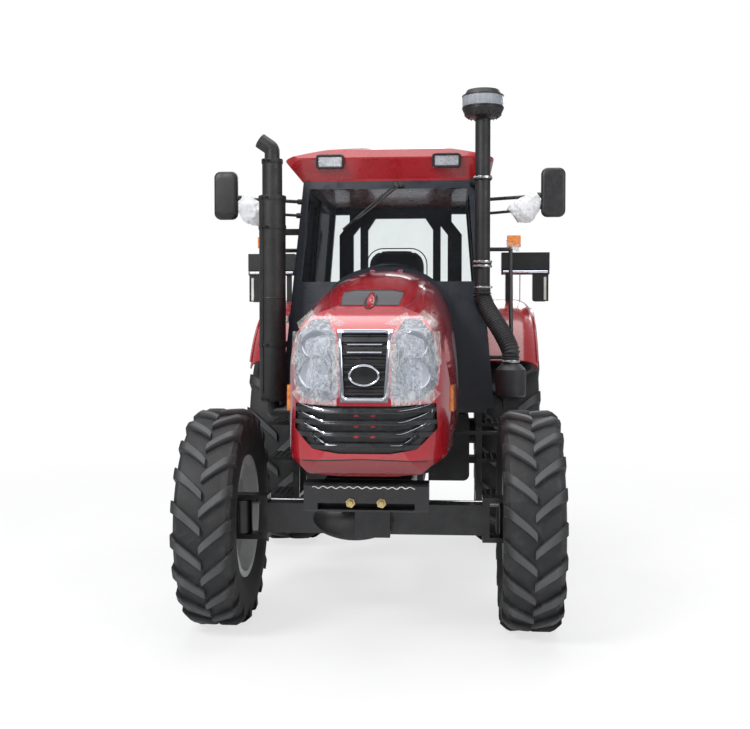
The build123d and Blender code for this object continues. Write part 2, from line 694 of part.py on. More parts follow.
# Bracket for front weights
with BuildPart() as weight_bracket:
    block(
        (-BRACKET_HALF_WIDTH, BRACKET_HALF_WIDTH),
        (BRACKET_FRONT_Y, SUPPORT_FRONT_Y),
        (BRACKET_BOTTOM_Z, BRACKET_TOP_Z),
    )
    chamfer(weight_bracket.edges().filter_by(Axis.X).group_by(Axis.Y)[0], BRACKET_CHAMFER)
    block(
        (-BRACKET_SLOT_HALF_WIDTH, BRACKET_SLOT_HALF_WIDTH),
        (BRACKET_FRONT_Y - 1, SUPPORT_FRONT_Y - YOKE_PLATE),
        (BRACKET_SLOT_BOTTOM_Z, BRACKET_SLOT_TOP_Z),
        mode=Mode.SUBTRACT,
    )
save(weight_bracket.part, "weight_bracket")

# Radiator on the front support
with BuildPart() as radiator:
    block(
        (-RADIATOR_HALF_WIDTH, RADIATOR_HALF_WIDTH),
        (RADIATOR_FRONT_Y, RADIATOR_FRONT_Y + RADIATOR_THICKNESS),
        (SUPPORT_TOP_Z, RADIATOR_TOP_Z),
    )
save(radiator.part, "radiator")

# Engine, as one plain block with its sump
engine_rear_y = CAB_FRONT_Y - 40
with BuildPart() as engine_block:
    block(
        (-ENGINE_HALF_WIDTH, ENGINE_HALF_WIDTH),
        (ENGINE_FRONT_Y, engine_rear_y),
        (SUPPORT_TOP_Z, ENGINE_TOP_Z),
    )
    block(
        (-SUMP_HALF_WIDTH, SUMP_HALF_WIDTH),
        (SUPPORT_REAR_Y, engine_rear_y),
        (SUMP_BOTTOM_Z, SUPPORT_TOP_Z),
    )
save(engine_block.part, "engine_block")

# Gearbox housing behind the engine
with BuildPart() as gearbox_housing:
    block(
        (-GEARBOX_HALF_WIDTH, GEARBOX_HALF_WIDTH),
        (engine_rear_y, REAR_HOUSING_FRONT_Y),
        (GEARBOX_BOTTOM_Z, GEARBOX_TOP_Z),
    )
    block(
        (PROPSHAFT_X - PROPSHAFT_RADIUS * 2, PROPSHAFT_X + PROPSHAFT_RADIUS * 2),
        (engine_rear_y + TANK_LENGTH / 2, engine_rear_y + TANK_LENGTH / 2 + PTO_LENGTH * 2),
        (PROPSHAFT_Z - PROPSHAFT_RADIUS * 1.5, GEARBOX_BOTTOM_Z),
    )
save(gearbox_housing.part, "gearbox_housing")

# Propeller shaft to the front differential
with BuildPart() as front_propshaft:
    shaft_front_y = FRONT_AXLE_Y + PROPSHAFT_NOSE_LENGTH
    rod(
        (PROPSHAFT_X, shaft_front_y, PROPSHAFT_Z),
        (PROPSHAFT_X, engine_rear_y + TANK_LENGTH / 2, PROPSHAFT_Z),
        PROPSHAFT_RADIUS,
    )
save(front_propshaft.part, "front_propshaft")

# Rear axle housing with its trumpets, stub shafts, rockshaft bearings and power take-off
with BuildPart() as rear_axle_housing:
    block(
        (-REAR_HOUSING_HALF_WIDTH, REAR_HOUSING_HALF_WIDTH),
        (REAR_HOUSING_FRONT_Y, REAR_HOUSING_REAR_Y),
        (REAR_HOUSING_BOTTOM_Z, REAR_HOUSING_TOP_Z - ROCKSHAFT_RADIUS * 2),
    )
    block(
        (-LIFT_ARM_X + LIFT_ARM_WIDTH, LIFT_ARM_X - LIFT_ARM_WIDTH),
        (ROCKSHAFT_Y - ROCKSHAFT_RADIUS * 3, ROCKSHAFT_Y + ROCKSHAFT_RADIUS),
        (REAR_HOUSING_TOP_Z - ROCKSHAFT_RADIUS * 3, ROCKSHAFT_Z + ROCKSHAFT_RADIUS * 1.6),
    )
    for side in (1, -1):
        rod(
            (side * REAR_HOUSING_HALF_WIDTH / 2, REAR_AXLE_Y, REAR_Z),
            (side * TRUMPET_END_X, REAR_AXLE_Y, REAR_Z),
            TRUMPET_RADIUS,
        )
        rod(
            (side * REAR_HOUSING_HALF_WIDTH, REAR_AXLE_Y, REAR_Z),
            (side * (REAR_X - REAR_SHAFT_RADIUS), REAR_AXLE_Y, REAR_Z),
            REAR_SHAFT_RADIUS,
        )
    rod(
        (0, REAR_HOUSING_REAR_Y, PTO_Z),
        (0, REAR_HOUSING_REAR_Y + PTO_LENGTH, PTO_Z),
        PTO_RADIUS,
    )
    rod(
        (-LIFT_ARM_X, ROCKSHAFT_Y, ROCKSHAFT_Z),
        (LIFT_ARM_X, ROCKSHAFT_Y, ROCKSHAFT_Z),
        ROCKSHAFT_RADIUS,
    )
    rod(
        (-LINK_FRONT_X - LINK_WIDTH / 2, LINK_PIVOT_Y, LINK_PIVOT_Z),
        (LINK_FRONT_X + LINK_WIDTH / 2, LINK_PIVOT_Y, LINK_PIVOT_Z),
        LINK_PIN_RADIUS,
    )
    block(
        (-REAR_HOUSING_HALF_WIDTH, REAR_HOUSING_HALF_WIDTH),
        (LINK_PIVOT_Y - LINK_HEIGHT / 2, LINK_PIVOT_Y + LINK_HEIGHT / 2),
        (LINK_PIVOT_Z - LINK_HEIGHT / 2, REAR_HOUSING_BOTTOM_Z),
    )
save(rear_axle_housing.part, "rear_axle_housing")

# Drawbar under the power take-off
with BuildPart() as drawbar:
    block((-DRAWBAR_HALF_WIDTH, DRAWBAR_HALF_WIDTH), (DRAWBAR_START_Y, DRAWBAR_END_Y), DRAWBAR_Z)
    block(
        (-DRAWBAR_HALF_WIDTH * 2, DRAWBAR_HALF_WIDTH * 2),
        (DRAWBAR_START_Y, DRAWBAR_START_Y + LINK_HEIGHT),
        (DRAWBAR_Z[0], REAR_HOUSING_BOTTOM_Z),
    )
    block(
        (-DRAWBAR_HALF_WIDTH * 2, DRAWBAR_HALF_WIDTH * 2),
        (LINK_PIVOT_Y - LINK_HEIGHT / 2, LINK_PIVOT_Y + LINK_HEIGHT / 2),
        (DRAWBAR_Z[0], LINK_PIVOT_Z - LINK_HEIGHT / 2),
    )
    with BuildSketch(Plane.XY.offset(DRAWBAR_Z[0])):
        with Locations((0, DRAWBAR_END_Y - DRAWBAR_HALF_WIDTH)):
            Circle(DRAWBAR_HOLE)
    extrude(amount=DRAWBAR_Z[1] - DRAWBAR_Z[0], mode=Mode.SUBTRACT)
save(drawbar.part, "drawbar")


# Rear linkage: lower links, lift arms and lift rods
def turned(origin_y, origin_z, length, angle):
    """The (y, z) point at that length and angle above the rearward direction."""
    turn = math.radians(angle)
    return origin_y + length * math.cos(turn), origin_z + length * math.sin(turn)


ball_y, ball_z = turned(LINK_PIVOT_Y, LINK_PIVOT_Z, LINK_LENGTH, LINK_REST)
lift_y, lift_z = turned(LINK_PIVOT_Y, LINK_PIVOT_Z, LIFT_POINT, LINK_REST)
arm_y, arm_z = turned(ROCKSHAFT_Y, ROCKSHAFT_Z, LIFT_ARM_LENGTH, LIFT_ARM_REST)


with BuildPart() as lower_links:
    for side in (1, -1):
        start = Vector(side * LINK_FRONT_X, LINK_PIVOT_Y, LINK_PIVOT_Z)
        end = Vector(side * LINK_REAR_X, ball_y, ball_z)
        run = end - start
        across = Vector(run.Y, -run.X, 0).normalized()
        with BuildSketch(Plane(origin=start, x_dir=across, z_dir=run)):
            Rectangle(LINK_WIDTH, LINK_HEIGHT)
        extrude(amount=run.length)
        for centre, radius, width, hole in (
            (start, LINK_HEIGHT / 2 + 4, LINK_WIDTH + 12, LINK_PIN_RADIUS + SHAFT_FIT),
            (end, LINK_BALL_RADIUS, LINK_BALL_WIDTH, LINK_BALL_HOLE),
        ):
            inner = centre - Vector(width / 2, 0, 0)
            outer = centre + Vector(width / 2, 0, 0)
            rod(tuple(inner), tuple(outer), radius)
            rod(tuple(inner), tuple(outer), hole, mode=Mode.SUBTRACT)
save(lower_links.part, "lower_links")

with BuildPart() as lift_arms:
    for side in (1, -1):
        middle_x = LIFT_ARM_X + LIFT_ARM_GAP + LIFT_ARM_WIDTH / 2
        start = Vector(side * middle_x, ROCKSHAFT_Y, ROCKSHAFT_Z)
        end = Vector(side * middle_x, arm_y, arm_z)
        run = end - start
        with BuildSketch(Plane(origin=start, x_dir=(1, 0, 0), z_dir=run)):
            Rectangle(LIFT_ARM_WIDTH, LIFT_ARM_HEIGHT)
        extrude(amount=run.length)
        for centre in (start, end):
            inner = centre - Vector(LIFT_ARM_WIDTH / 2, 0, 0)
            outer = centre + Vector(LIFT_ARM_WIDTH / 2, 0, 0)
            rod(tuple(inner), tuple(outer), LIFT_ARM_HEIGHT / 2)
        pin_end = end + Vector(side * (LIFT_ARM_WIDTH / 2 + LIFT_ROD_EYE_WIDTH + 8), 0, 0)
        rod(tuple(end), tuple(pin_end), LIFT_ROD_RADIUS)
save(lift_arms.part, "lift_arms")

rod_x = LIFT_ARM_X + LIFT_ARM_WIDTH + 4 + LIFT_ROD_EYE_WIDTH / 2
link_share = LIFT_POINT / LINK_LENGTH
link_x = LINK_FRONT_X + (LINK_REAR_X - LINK_FRONT_X) * link_share
rod_foot_x = link_x + LINK_WIDTH / 2 + 12 + LIFT_ROD_EYE_WIDTH / 2
with BuildPart() as lift_rods:
    for side in (1, -1):
        top = Vector(side * rod_x, arm_y, arm_z)
        foot = Vector(side * rod_foot_x, lift_y, lift_z)
        rod(tuple(top), tuple(foot), LIFT_ROD_RADIUS)
        for centre in (top, foot):
            inner = centre - Vector(LIFT_ROD_EYE_WIDTH / 2, 0, 0)
            outer = centre + Vector(LIFT_ROD_EYE_WIDTH / 2, 0, 0)
            rod(tuple(inner), tuple(outer), LIFT_ROD_EYE_RADIUS)
        for centre in (top, foot):
            inner = centre - Vector(LIFT_ROD_EYE_WIDTH, 0, 0)
            outer = centre + Vector(LIFT_ROD_EYE_WIDTH, 0, 0)
            rod(tuple(inner), tuple(outer), LIFT_ROD_RADIUS + SHAFT_FIT, mode=Mode.SUBTRACT)
save(lift_rods.part, "lift_rods")

# Cab geometry shared by its pieces
tilt = math.radians(TUMBLEHOME)
rake = math.tan(math.radians(WINDSCREEN_RAKE))
fender_outer = FENDER_RADIUS + FENDER_SHEET


def half_width(z):
    """Half of the cab's outer width at a height."""
    return SILL_HALF_WIDTH - math.tan(tilt) * (z - SILL_Z)


def inner_half(z):
    """Half of the cab's inner width at a height."""
    return half_width(z) - CAB_WALL / math.cos(tilt)


def front_y(z):
    """The front face of the cab at a height."""
    return CAB_FRONT_Y + rake * (z - SILL_Z)


def cab_side(depth=0):
    """The plane of the cab's left side, that far inside its outer face: x backwards, y up the wall."""
    origin = Vector(SILL_HALF_WIDTH, 0, SILL_Z)
    normal = Vector(math.cos(tilt), 0, math.sin(tilt))
    return Plane(origin=origin - normal * depth, x_dir=(0, 1, 0), z_dir=normal)


def wall_point(y, z):
    """A point of the cab's side wall, from its place along the machine and its height."""
    return (y, (z - SILL_Z) / math.cos(tilt))


def inside_cab(z_low, z_high):
    """The cab's inner section between two heights, as (x, z) points."""
    return [
        (-inner_half(z_low), z_low),
        (inner_half(z_low), z_low),
        (inner_half(z_high), z_high),
        (-inner_half(z_high), z_high),
    ]


def cross_panel(outline):
    """A panel between the cab's side walls, from its outline of (y, z) points seen from the left."""
    heights = [z for y, z in outline]
    with BuildPart() as panel:
        with BuildSketch(Plane.YZ):
            Polygon(*outline, align=None)
        extrude(amount=SILL_HALF_WIDTH, both=True)
        with BuildSketch(end_plane(0)):
            Polygon(*inside_cab(min(heights) - 1, max(heights) + 1), align=None)
        extrude(amount=2 * WHEELBASE, both=True, mode=Mode.INTERSECT)
    return panel.part


def screen_band(z_low, z_high, start, depth):
    """A band of the raked front between two heights, from its depth behind the front face."""
    return [
        (front_y(z_low) + start, z_low),
        (front_y(z_low) + start + depth, z_low),
        (front_y(z_high) + start + depth, z_high),
        (front_y(z_high) + start, z_high),
    ]


opening_top = CAB_TOP_Z - HEADER_HEIGHT
opening_bottom = SILL_Z + SILL_HEIGHT
DOOR_OPENING = [
    wall_point(front_y(opening_bottom) + POST_WIDTH, opening_bottom),
    wall_point(DOOR_FOOT_Y, opening_bottom),
    wall_point(DOOR_KNEE_Y, DOOR_KNEE_Z),
    wall_point(DOOR_HINGE_Y, DOOR_WAIST_Z),
    wall_point(DOOR_HINGE_Y, opening_top),
    wall_point(front_y(opening_top) + POST_WIDTH, opening_top),
]
QUARTER_OPENING = [
    wall_point(QUARTER_FRONT_Y, 1740),
    wall_point(REAR_AXLE_Y - 290, 1858),
    wall_point(REAR_AXLE_Y - 40, 1888),
    wall_point(QUARTER_REAR_Y, 1878),
    wall_point(QUARTER_REAR_Y, opening_top),
    wall_point(QUARTER_FRONT_Y, opening_top),
]
SIDE_OUTLINE = [
    wall_point(CAB_FRONT_Y, SILL_Z),
    wall_point(DOOR_FOOT_Y + POST_WIDTH, SILL_Z),
    wall_point(CAB_REAR_Y, SILL_Z + HEADER_HEIGHT),
    wall_point(CAB_REAR_Y, CAB_TOP_Z),
    wall_point(front_y(CAB_TOP_Z), CAB_TOP_Z),
]

# Side walls of the cab frame, cut for the doors, the quarter windows and the fenders
with BuildPart() as side_walls:
    with BuildSketch(cab_side(CAB_WALL)):
        Polygon(*SIDE_OUTLINE, align=None)
        Polygon(*DOOR_OPENING, align=None, mode=Mode.SUBTRACT)
        Polygon(*QUARTER_OPENING, align=None, mode=Mode.SUBTRACT)
    extrude(amount=CAB_WALL)
    rod(
        (0, REAR_AXLE_Y, REAR_Z),
        (2 * SILL_HALF_WIDTH, REAR_AXLE_Y, REAR_Z),
        fender_outer + FENDER_GAP,
        mode=Mode.SUBTRACT,
    )
    for hinge_z in HINGE_HEIGHTS:
        with BuildSketch(cab_side(0)):
            with Locations(wall_point(DOOR_HINGE_Y + HINGE_LEAF_LENGTH / 2, hinge_z - HINGE_BARREL_HEIGHT / 2)):
                Rectangle(HINGE_LEAF_LENGTH, HINGE_BARREL_HEIGHT)
        extrude(amount=HINGE_LEAF_THICKNESS)
        low_y, low_v = wall_point(DOOR_HINGE_Y, hinge_z - HINGE_BARREL_HEIGHT)
        start = cab_side(-HINGE_STAND_OFF).from_local_coords((low_y, low_v, 0))
        end = cab_side(-HINGE_STAND_OFF).from_local_coords((low_y, low_v + HINGE_BARREL_HEIGHT, 0))
        rod(tuple(start), tuple(end), HINGE_BARREL_RADIUS)
    mirror(about=Plane.YZ)

front_header = cross_panel(screen_band(opening_top, CAB_TOP_Z, 0, CAB_WALL))
rear_wall_outline = [
    (CAB_REAR_Y - CAB_WALL, PLATFORM_Z),
    (CAB_REAR_Y, PLATFORM_Z),
    (CAB_REAR_Y, CAB_TOP_Z),
    (CAB_REAR_Y - CAB_WALL, CAB_TOP_Z),
]
rear_wall = cross_panel(rear_wall_outline)
strip_top = REAR_HEADER_Z - 130
REAR_STRIP = [
    (REAR_POST_OUTER_X, REAR_SILL_Z),
    (inner_half(REAR_SILL_Z), REAR_SILL_Z),
    (inner_half(opening_top), opening_top),
    (REAR_POST_OUTER_X - 80, opening_top),
    (REAR_POST_OUTER_X - 80, opening_top - 60),
    (REAR_POST_OUTER_X, strip_top),
]
REAR_SLOT = [
    (WINDOW_BAR_OUTER_X, REAR_SILL_Z),
    (REAR_POST_INNER_X, REAR_SILL_Z),
    (REAR_POST_INNER_X, strip_top),
    (WINDOW_BAR_OUTER_X, REAR_HEADER_Z - 60),
]
REAR_CENTRE = [
    (-WINDOW_BAR_INNER_X, REAR_SILL_Z),
    (WINDOW_BAR_INNER_X, REAR_SILL_Z),
    (WINDOW_BAR_INNER_X, REAR_HEADER_Z - 90),
    (WINDOW_BAR_INNER_X - 60, REAR_HEADER_Z),
    (60 - WINDOW_BAR_INNER_X, REAR_HEADER_Z),
    (-WINDOW_BAR_INNER_X, REAR_HEADER_Z - 90),
]


def mirrored_points(points):
    """The same outline on the machine's other side."""
    return [(-x, z) for x, z in reversed(points)]


REAR_OPENINGS = [
    REAR_STRIP, mirrored_points(REAR_STRIP), REAR_SLOT, mirrored_points(REAR_SLOT), REAR_CENTRE
]
with BuildPart() as cab_frame:
    add(side_walls.part)
    add(front_header)
    add(rear_wall)
    with BuildSketch(end_plane(CAB_REAR_Y + 1)):
        for opening in REAR_OPENINGS:
            Polygon(*opening, align=None)
    extrude(amount=CAB_WALL + 2, mode=Mode.SUBTRACT)
    for side in (1, -1):
        rod(
            (side * (FENDER_INNER_X - FENDER_GAP), REAR_AXLE_Y, REAR_Z),
            (side * 2 * SILL_HALF_WIDTH, REAR_AXLE_Y, REAR_Z),
            fender_outer + FENDER_GAP,
            mode=Mode.SUBTRACT,
        )
save(cab_frame.part, "cab_frame")

# Windscreen, quarter windows and rear windows
screen = cross_panel(screen_band(SCREEN_BOTTOM_Z, opening_top, CAB_WALL / 2, GLASS_THICKNESS))
with BuildPart() as quarter_windows:
    with BuildSketch(cab_side(CAB_WALL / 2)):
        Polygon(*QUARTER_OPENING, align=None)
    extrude(amount=GLASS_THICKNESS)
    mirror(about=Plane.YZ)
with BuildPart() as rear_windows:
    with BuildSketch(end_plane(CAB_REAR_Y - CAB_WALL / 2)):
        for opening in REAR_OPENINGS:
            Polygon(*opening, align=None)
    extrude(amount=GLASS_THICKNESS)
save(Compound(children=screen.solids() + quarter_windows.part.solids() + rear_windows.part.solids()),
     "cab_glass")

# Doors with their panes, hinged at the rear post
with BuildPart() as door_left:
    with BuildSketch(cab_side(DOOR_THICKNESS)) as door_face:
        Polygon(*DOOR_OPENING, align=None)
        offset(amount=-DOOR_GAP, kind=Kind.INTERSECTION, mode=Mode.REPLACE)
    extrude(amount=DOOR_THICKNESS)
    with BuildSketch(cab_side(DOOR_THICKNESS + 1)) as door_light:
        Polygon(*DOOR_OPENING, align=None)
        offset(amount=-DOOR_GAP - DOOR_RAIL, kind=Kind.INTERSECTION, mode=Mode.REPLACE)
    extrude(amount=DOOR_THICKNESS + 2, mode=Mode.SUBTRACT)
    for hinge_z in HINGE_HEIGHTS:
        low = hinge_z + HINGE_GAP
        with BuildSketch(cab_side(0)):
            with Locations(wall_point(DOOR_HINGE_Y - HINGE_LEAF_LENGTH / 2, low + HINGE_BARREL_HEIGHT / 2)):
                Rectangle(HINGE_LEAF_LENGTH, HINGE_BARREL_HEIGHT)
        extrude(amount=HINGE_LEAF_THICKNESS)
        hinge_y, hinge_v = wall_point(DOOR_HINGE_Y, low)
        start = cab_side(-HINGE_STAND_OFF).from_local_coords((hinge_y, hinge_v, 0))
        end = cab_side(-HINGE_STAND_OFF).from_local_coords((hinge_y, hinge_v + HINGE_BARREL_HEIGHT, 0))
        rod(tuple(start), tuple(end), HINGE_BARREL_RADIUS)
save(door_left.part, "door_left")
with BuildPart() as door_right:
    mirror(door_left.part, about=Plane.YZ)
save(door_right.part, "door_right")
with BuildPart() as door_left_glass:
    with BuildSketch(cab_side(DOOR_THICKNESS / 2)):
        Polygon(*DOOR_OPENING, align=None)
        offset(amount=-DOOR_GAP - DOOR_RAIL, kind=Kind.INTERSECTION, mode=Mode.REPLACE)
    extrude(amount=GLASS_THICKNESS)
save(door_left_glass.part, "door_left_glass")
with BuildPart() as door_right_glass:
    mirror(door_left_glass.part, about=Plane.YZ)
save(door_right_glass.part, "door_right_glass")

# Hood sections, from the nose to the cab: place along the machine and half an outline of (x, z) points
HOOD_STATIONS = [
    (HOOD_NOSE_Y - 40, [(350, 860), (372, 1100), (366, 1330), (338, 1500), (268, 1610), (150, 1640), (0, 1648)]),
    (FRONT_AXLE_Y - 350, [(388, 860), (404, 1120), (398, 1400), (366, 1560), (300, 1668), (170, 1708), (0, 1722)]),
    (FRONT_AXLE_Y + 60, [(414, 880), (440, 1190), (428, 1430), (384, 1620), (312, 1744), (180, 1812), (0, 1832)]),
    (FRONT_AXLE_Y + 460, [(420, 980), (446, 1260), (432, 1480), (386, 1672), (308, 1808), (180, 1886), (0, 1910)]),
    (HOOD_REAR_Y + 40, [(424, 1040), (448, 1320), (434, 1530), (386, 1724), (308, 1862), (180, 1940),
                        (0, HOOD_CREST_Z)]),
]
NOSE_TOP = [(-668, 1230), (-655, 1420), (-615, 1560), (-500, 1652), (-300, 1722), (-60, 1798)]
NOSE_FOOT = [(-662, 1050), (-640, 940), (-580, 880)]
CHIN_OUTLINE = [(SILL_HALF_WIDTH, 1000), (420, 985), (315, 937), (267, 898), (120, 882)]
HOOD_SKIRT_Z = 1060
HOOD_SKIRT_REAR_Z = 1150
NOSE_PLAN = [(0, -668), (200, -655), (320, -590), (385, -440), (430, -180), (452, 60)]


def hood_section(y, points, inset):
    """One closed section of the hood at a station, moved in by the inset."""
    left = [(max(x - inset, 0), z - inset * (z / points[-1][1]) if x < points[2][0] else z) for x, z in points]
    right = [(-x, z) for x, z in reversed(left[:-1])]
    with BuildSketch(end_plane(y)) as section:
        with BuildLine():
            Spline(*(left + right))
            Line(right[-1], left[0])
        make_face()
    return section.sketch


def hood_body(inset):
    """The solid inside the hood's outer surface, moved in by the inset."""
    sections = [hood_section(y, points, inset) for y, points in HOOD_STATIONS]
    side_top = [(FRONT_AXLE_Y + y + inset, z - inset * 0.3) for y, z in NOSE_TOP]
    side_foot = [(FRONT_AXLE_Y + y + inset, z) for y, z in NOSE_FOOT]
    plan = [(x - inset if x else 0, FRONT_AXLE_Y + y + inset * (1 if x < 300 else 0.3)) for x, y in NOSE_PLAN]
    foot_z = NOSE_FOOT[-1][1] - 10
    with BuildPart() as body:
        loft(sections=sections)
        with BuildSketch(Plane.YZ):
            with BuildLine():
                rise = Spline(*(list(reversed(side_foot)) + side_top))
                roof_end = (HOOD_REAR_Y + 200, 2 * HOOD_CREST_Z)
                Polyline(rise @ 1, (side_top[-1][0], 2 * HOOD_CREST_Z), roof_end,
                         (HOOD_REAR_Y + 200, foot_z), (side_foot[-1][0] + 20, foot_z), rise @ 0)
            make_face()
        extrude(amount=SILL_HALF_WIDTH, both=True, mode=Mode.INTERSECT)
        with BuildSketch(Plane.XY):
            with BuildLine():
                mirrored_plan = [(-x, y) for x, y in reversed(plan[1:])]
                nose = Spline(*(mirrored_plan + plan))
                Polyline(nose @ 1, (plan[-1][0], HOOD_REAR_Y + 200), (-plan[-1][0], HOOD_REAR_Y + 200), nose @ 0)
            make_face()
        extrude(amount=2 * HOOD_CREST_Z, mode=Mode.INTERSECT)
    return body.part


hood_outer = hood_body(0)
hood_inner = hood_body(HOOD_SHEET)
fascia_inner = hood_body(FASCIA_DEPTH)

# Outlines of what is set into the hood, as (x, z) points seen from the front
LAMP_OUTLINE = [
    (124, 1275), (170, 1245), (300, 1262), (342, 1330), (348, 1450), (322, 1570), (258, 1640), (190, 1640), (142, 1560)
]
UPPER_GRILLE = [(-96, 1262), (96, 1262), (114, 1572), (-114, 1572)]
LOWER_GRILLE = [
    (-338, 1236), (-345, 1115), (-250, 1022), (-120, 1000), (120, 1000), (250, 1022), (345, 1115), (338, 1236),
    (110, 1226), (-110, 1226)
]
MESH_PANEL = [(-146, -345), (146, -345), (160, -60), (-160, -60)]
SIDE_VENT = [(60, 1270), (760, 1300), (760, 1560), (640, 1590), (200, 1560), (60, 1500)]
GRILLE_SURROUND = 18
UPPER_SLATS = 5
LOWER_SLATS = 4
SLAT_HEIGHT = 22


def front_prism(points, grow=0):
    """A prism along Y through the hood's front, from an outline seen from the front."""
    with BuildPart() as prism:
        with BuildSketch(end_plane(FRONT_AXLE_Y)):
            Polygon(*points, align=None)
            if grow:
                offset(amount=grow, kind=Kind.INTERSECTION, mode=Mode.REPLACE)
        extrude(amount=-2 * (HOOD_NOSE_Y - FRONT_AXLE_Y))
    return prism.part


front_skin = hood_outer - fascia_inner
lamp_points = [LAMP_OUTLINE, mirrored_points(LAMP_OUTLINE)]
lamp_prisms = [front_prism(points) for points in lamp_points]
lamp_holes = [front_prism(points, PANEL_GAP) for points in lamp_points]
upper_prism = front_prism(UPPER_GRILLE)
upper_ring = front_prism(UPPER_GRILLE, GRILLE_SURROUND)
upper_hole = front_prism(UPPER_GRILLE, GRILLE_SURROUND + PANEL_GAP)
lower_prism = front_prism(LOWER_GRILLE)
lower_hole = front_prism(LOWER_GRILLE, PANEL_GAP)


def top_prism(points, grow=0):
    """A prism upwards through the hood's top, from an outline seen from above."""
    with BuildPart() as prism:
        with BuildSketch(Plane.XY.offset(ENGINE_TOP_Z)):
            Polygon(*[(x, FRONT_AXLE_Y + y) for x, y in points], align=None)
            if grow:
                offset(amount=grow, kind=Kind.INTERSECTION, mode=Mode.REPLACE)
        extrude(amount=ENGINE_TOP_Z)
    return prism.part


def vent_prism(side, grow=0):
    """A prism sideways through the hood's flank, on one side of the machine."""
    with BuildPart() as prism:
        with BuildSketch(Plane.YZ):
            Polygon(*[(FRONT_AXLE_Y + y, z) for y, z in SIDE_VENT], align=None)
            if grow:
                offset(amount=grow, kind=Kind.INTERSECTION, mode=Mode.REPLACE)
        extrude(amount=side * SILL_HALF_WIDTH)
    return prism.part


# Hood shell, open below and behind, with its hinge lugs
skirt = [
    (FRONT_AXLE_Y - 130, 0),
    (FRONT_AXLE_Y - 130, HOOD_SKIRT_Z),
    (HOOD_REAR_Y + 300, HOOD_SKIRT_REAR_Z + 45),
    (HOOD_REAR_Y + 300, 0),
]
with BuildPart() as trimming:
    with BuildSketch(Plane.YZ):
        Polygon(*skirt, align=None)
    extrude(amount=SILL_HALF_WIDTH, both=True)
    block((-SILL_HALF_WIDTH, SILL_HALF_WIDTH), (HOOD_REAR_Y, HOOD_REAR_Y + 400), (0, 2 * HOOD_CREST_Z))
    foot_edge = CHIN_OUTLINE + [(-x, z) for x, z in reversed(CHIN_OUTLINE)]
    with BuildSketch(end_plane(HOOD_REAR_Y)):
        Polygon(*foot_edge, (-SILL_HALF_WIDTH, 0), (SILL_HALF_WIDTH, 0), align=None)
    extrude(amount=HOOD_REAR_Y - HOOD_NOSE_Y + FASCIA_DEPTH)
with BuildPart() as hood_shell:
    add(hood_outer)
    add(hood_inner, mode=Mode.SUBTRACT)
    add(trimming.part, mode=Mode.SUBTRACT)
    for hole in lamp_holes + [upper_hole, lower_hole]:
        add(hole, mode=Mode.SUBTRACT)
    add(top_prism(MESH_PANEL, PANEL_GAP), mode=Mode.SUBTRACT)
    for side in (1, -1):
        add(vent_prism(side, PANEL_GAP), mode=Mode.SUBTRACT)
    for side in (1, -1):
        block(
            (side * HOOD_HINGE_X, side * (HOOD_HINGE_X + 14)),
            (HOOD_REAR_Y - 60, HOOD_HINGE_Y + HOOD_PIN_RADIUS * 2),
            (HOOD_HINGE_Z - HOOD_PIN_RADIUS * 3, HOOD_HINGE_Z - HOOD_PIN_RADIUS),
        )
        rod(
            (side * HOOD_HINGE_X, HOOD_HINGE_Y, HOOD_HINGE_Z),
            (side * (HOOD_HINGE_X + 14), HOOD_HINGE_Y, HOOD_HINGE_Z),
            HOOD_PIN_RADIUS * 2,
        )
        rod(
            (side * HOOD_HINGE_X, HOOD_HINGE_Y, HOOD_HINGE_Z),
            (side * (HOOD_HINGE_X + 14), HOOD_HINGE_Y, HOOD_HINGE_Z),
            HOOD_PIN_RADIUS + SHAFT_FIT,
            mode=Mode.SUBTRACT,
        )
save(hood_shell.part, "hood_shell")

# Vent panels set into the hood's top and flanks
vent_skin = hood_outer - hood_inner
with BuildPart() as hood_vents:
    add(vent_skin & top_prism(MESH_PANEL))
    for side in (1, -1):
        add(vent_skin & vent_prism(side))
save(hood_vents.part, "hood_vents")

# Headlamps
with BuildPart() as headlamps:
    for prism in lamp_prisms:
        add(front_skin & prism)
save(headlamps.part, "headlamps")

# Grille surround
with BuildPart() as grille_surround:
    add(front_skin & (upper_ring - upper_prism))
save(grille_surround.part, "grille_surround")


def slats(points, count, height):
    """Level bars across an outline, spread evenly over its height."""
    z_values = [z for x, z in points]
    pitch = (max(z_values) - min(z_values)) / count
    bars = []
    for index in range(count):
        with BuildPart() as bar:
            centre_z = min(z_values) + pitch * (index + 0.5)
            block((-SILL_HALF_WIDTH, SILL_HALF_WIDTH), (HOOD_NOSE_Y - 100, FRONT_AXLE_Y),
                  (centre_z - height / 2, centre_z + height / 2))
        bars.append(bar.part)
    return bars


# Grilles: level slats joined by upright ribs
grille_back = hood_body(FASCIA_DEPTH * 0.55) - fascia_inner
with BuildPart() as grilles:
    for points, prism, count in (
        (UPPER_GRILLE, upper_prism, UPPER_SLATS),
        (LOWER_GRILLE, lower_prism, LOWER_SLATS),
    ):
        for bar in slats(points, count, SLAT_HEIGHT):
            add(front_skin & prism & bar)
        add(grille_back & prism)
save(grilles.part, "grilles")

# Amber lamps at the hood's front corners
SIDE_LAMP_Y = (-330, -230)
SIDE_LAMP_Z = (1180, 1310)
with BuildPart() as side_lamps:
    block((-SILL_HALF_WIDTH, SILL_HALF_WIDTH), [FRONT_AXLE_Y + y for y in SIDE_LAMP_Y], SIDE_LAMP_Z)
    add(hood_body(-14), mode=Mode.INTERSECT)
    add(hood_outer, mode=Mode.SUBTRACT)
save(side_lamps.part, "side_lamps")

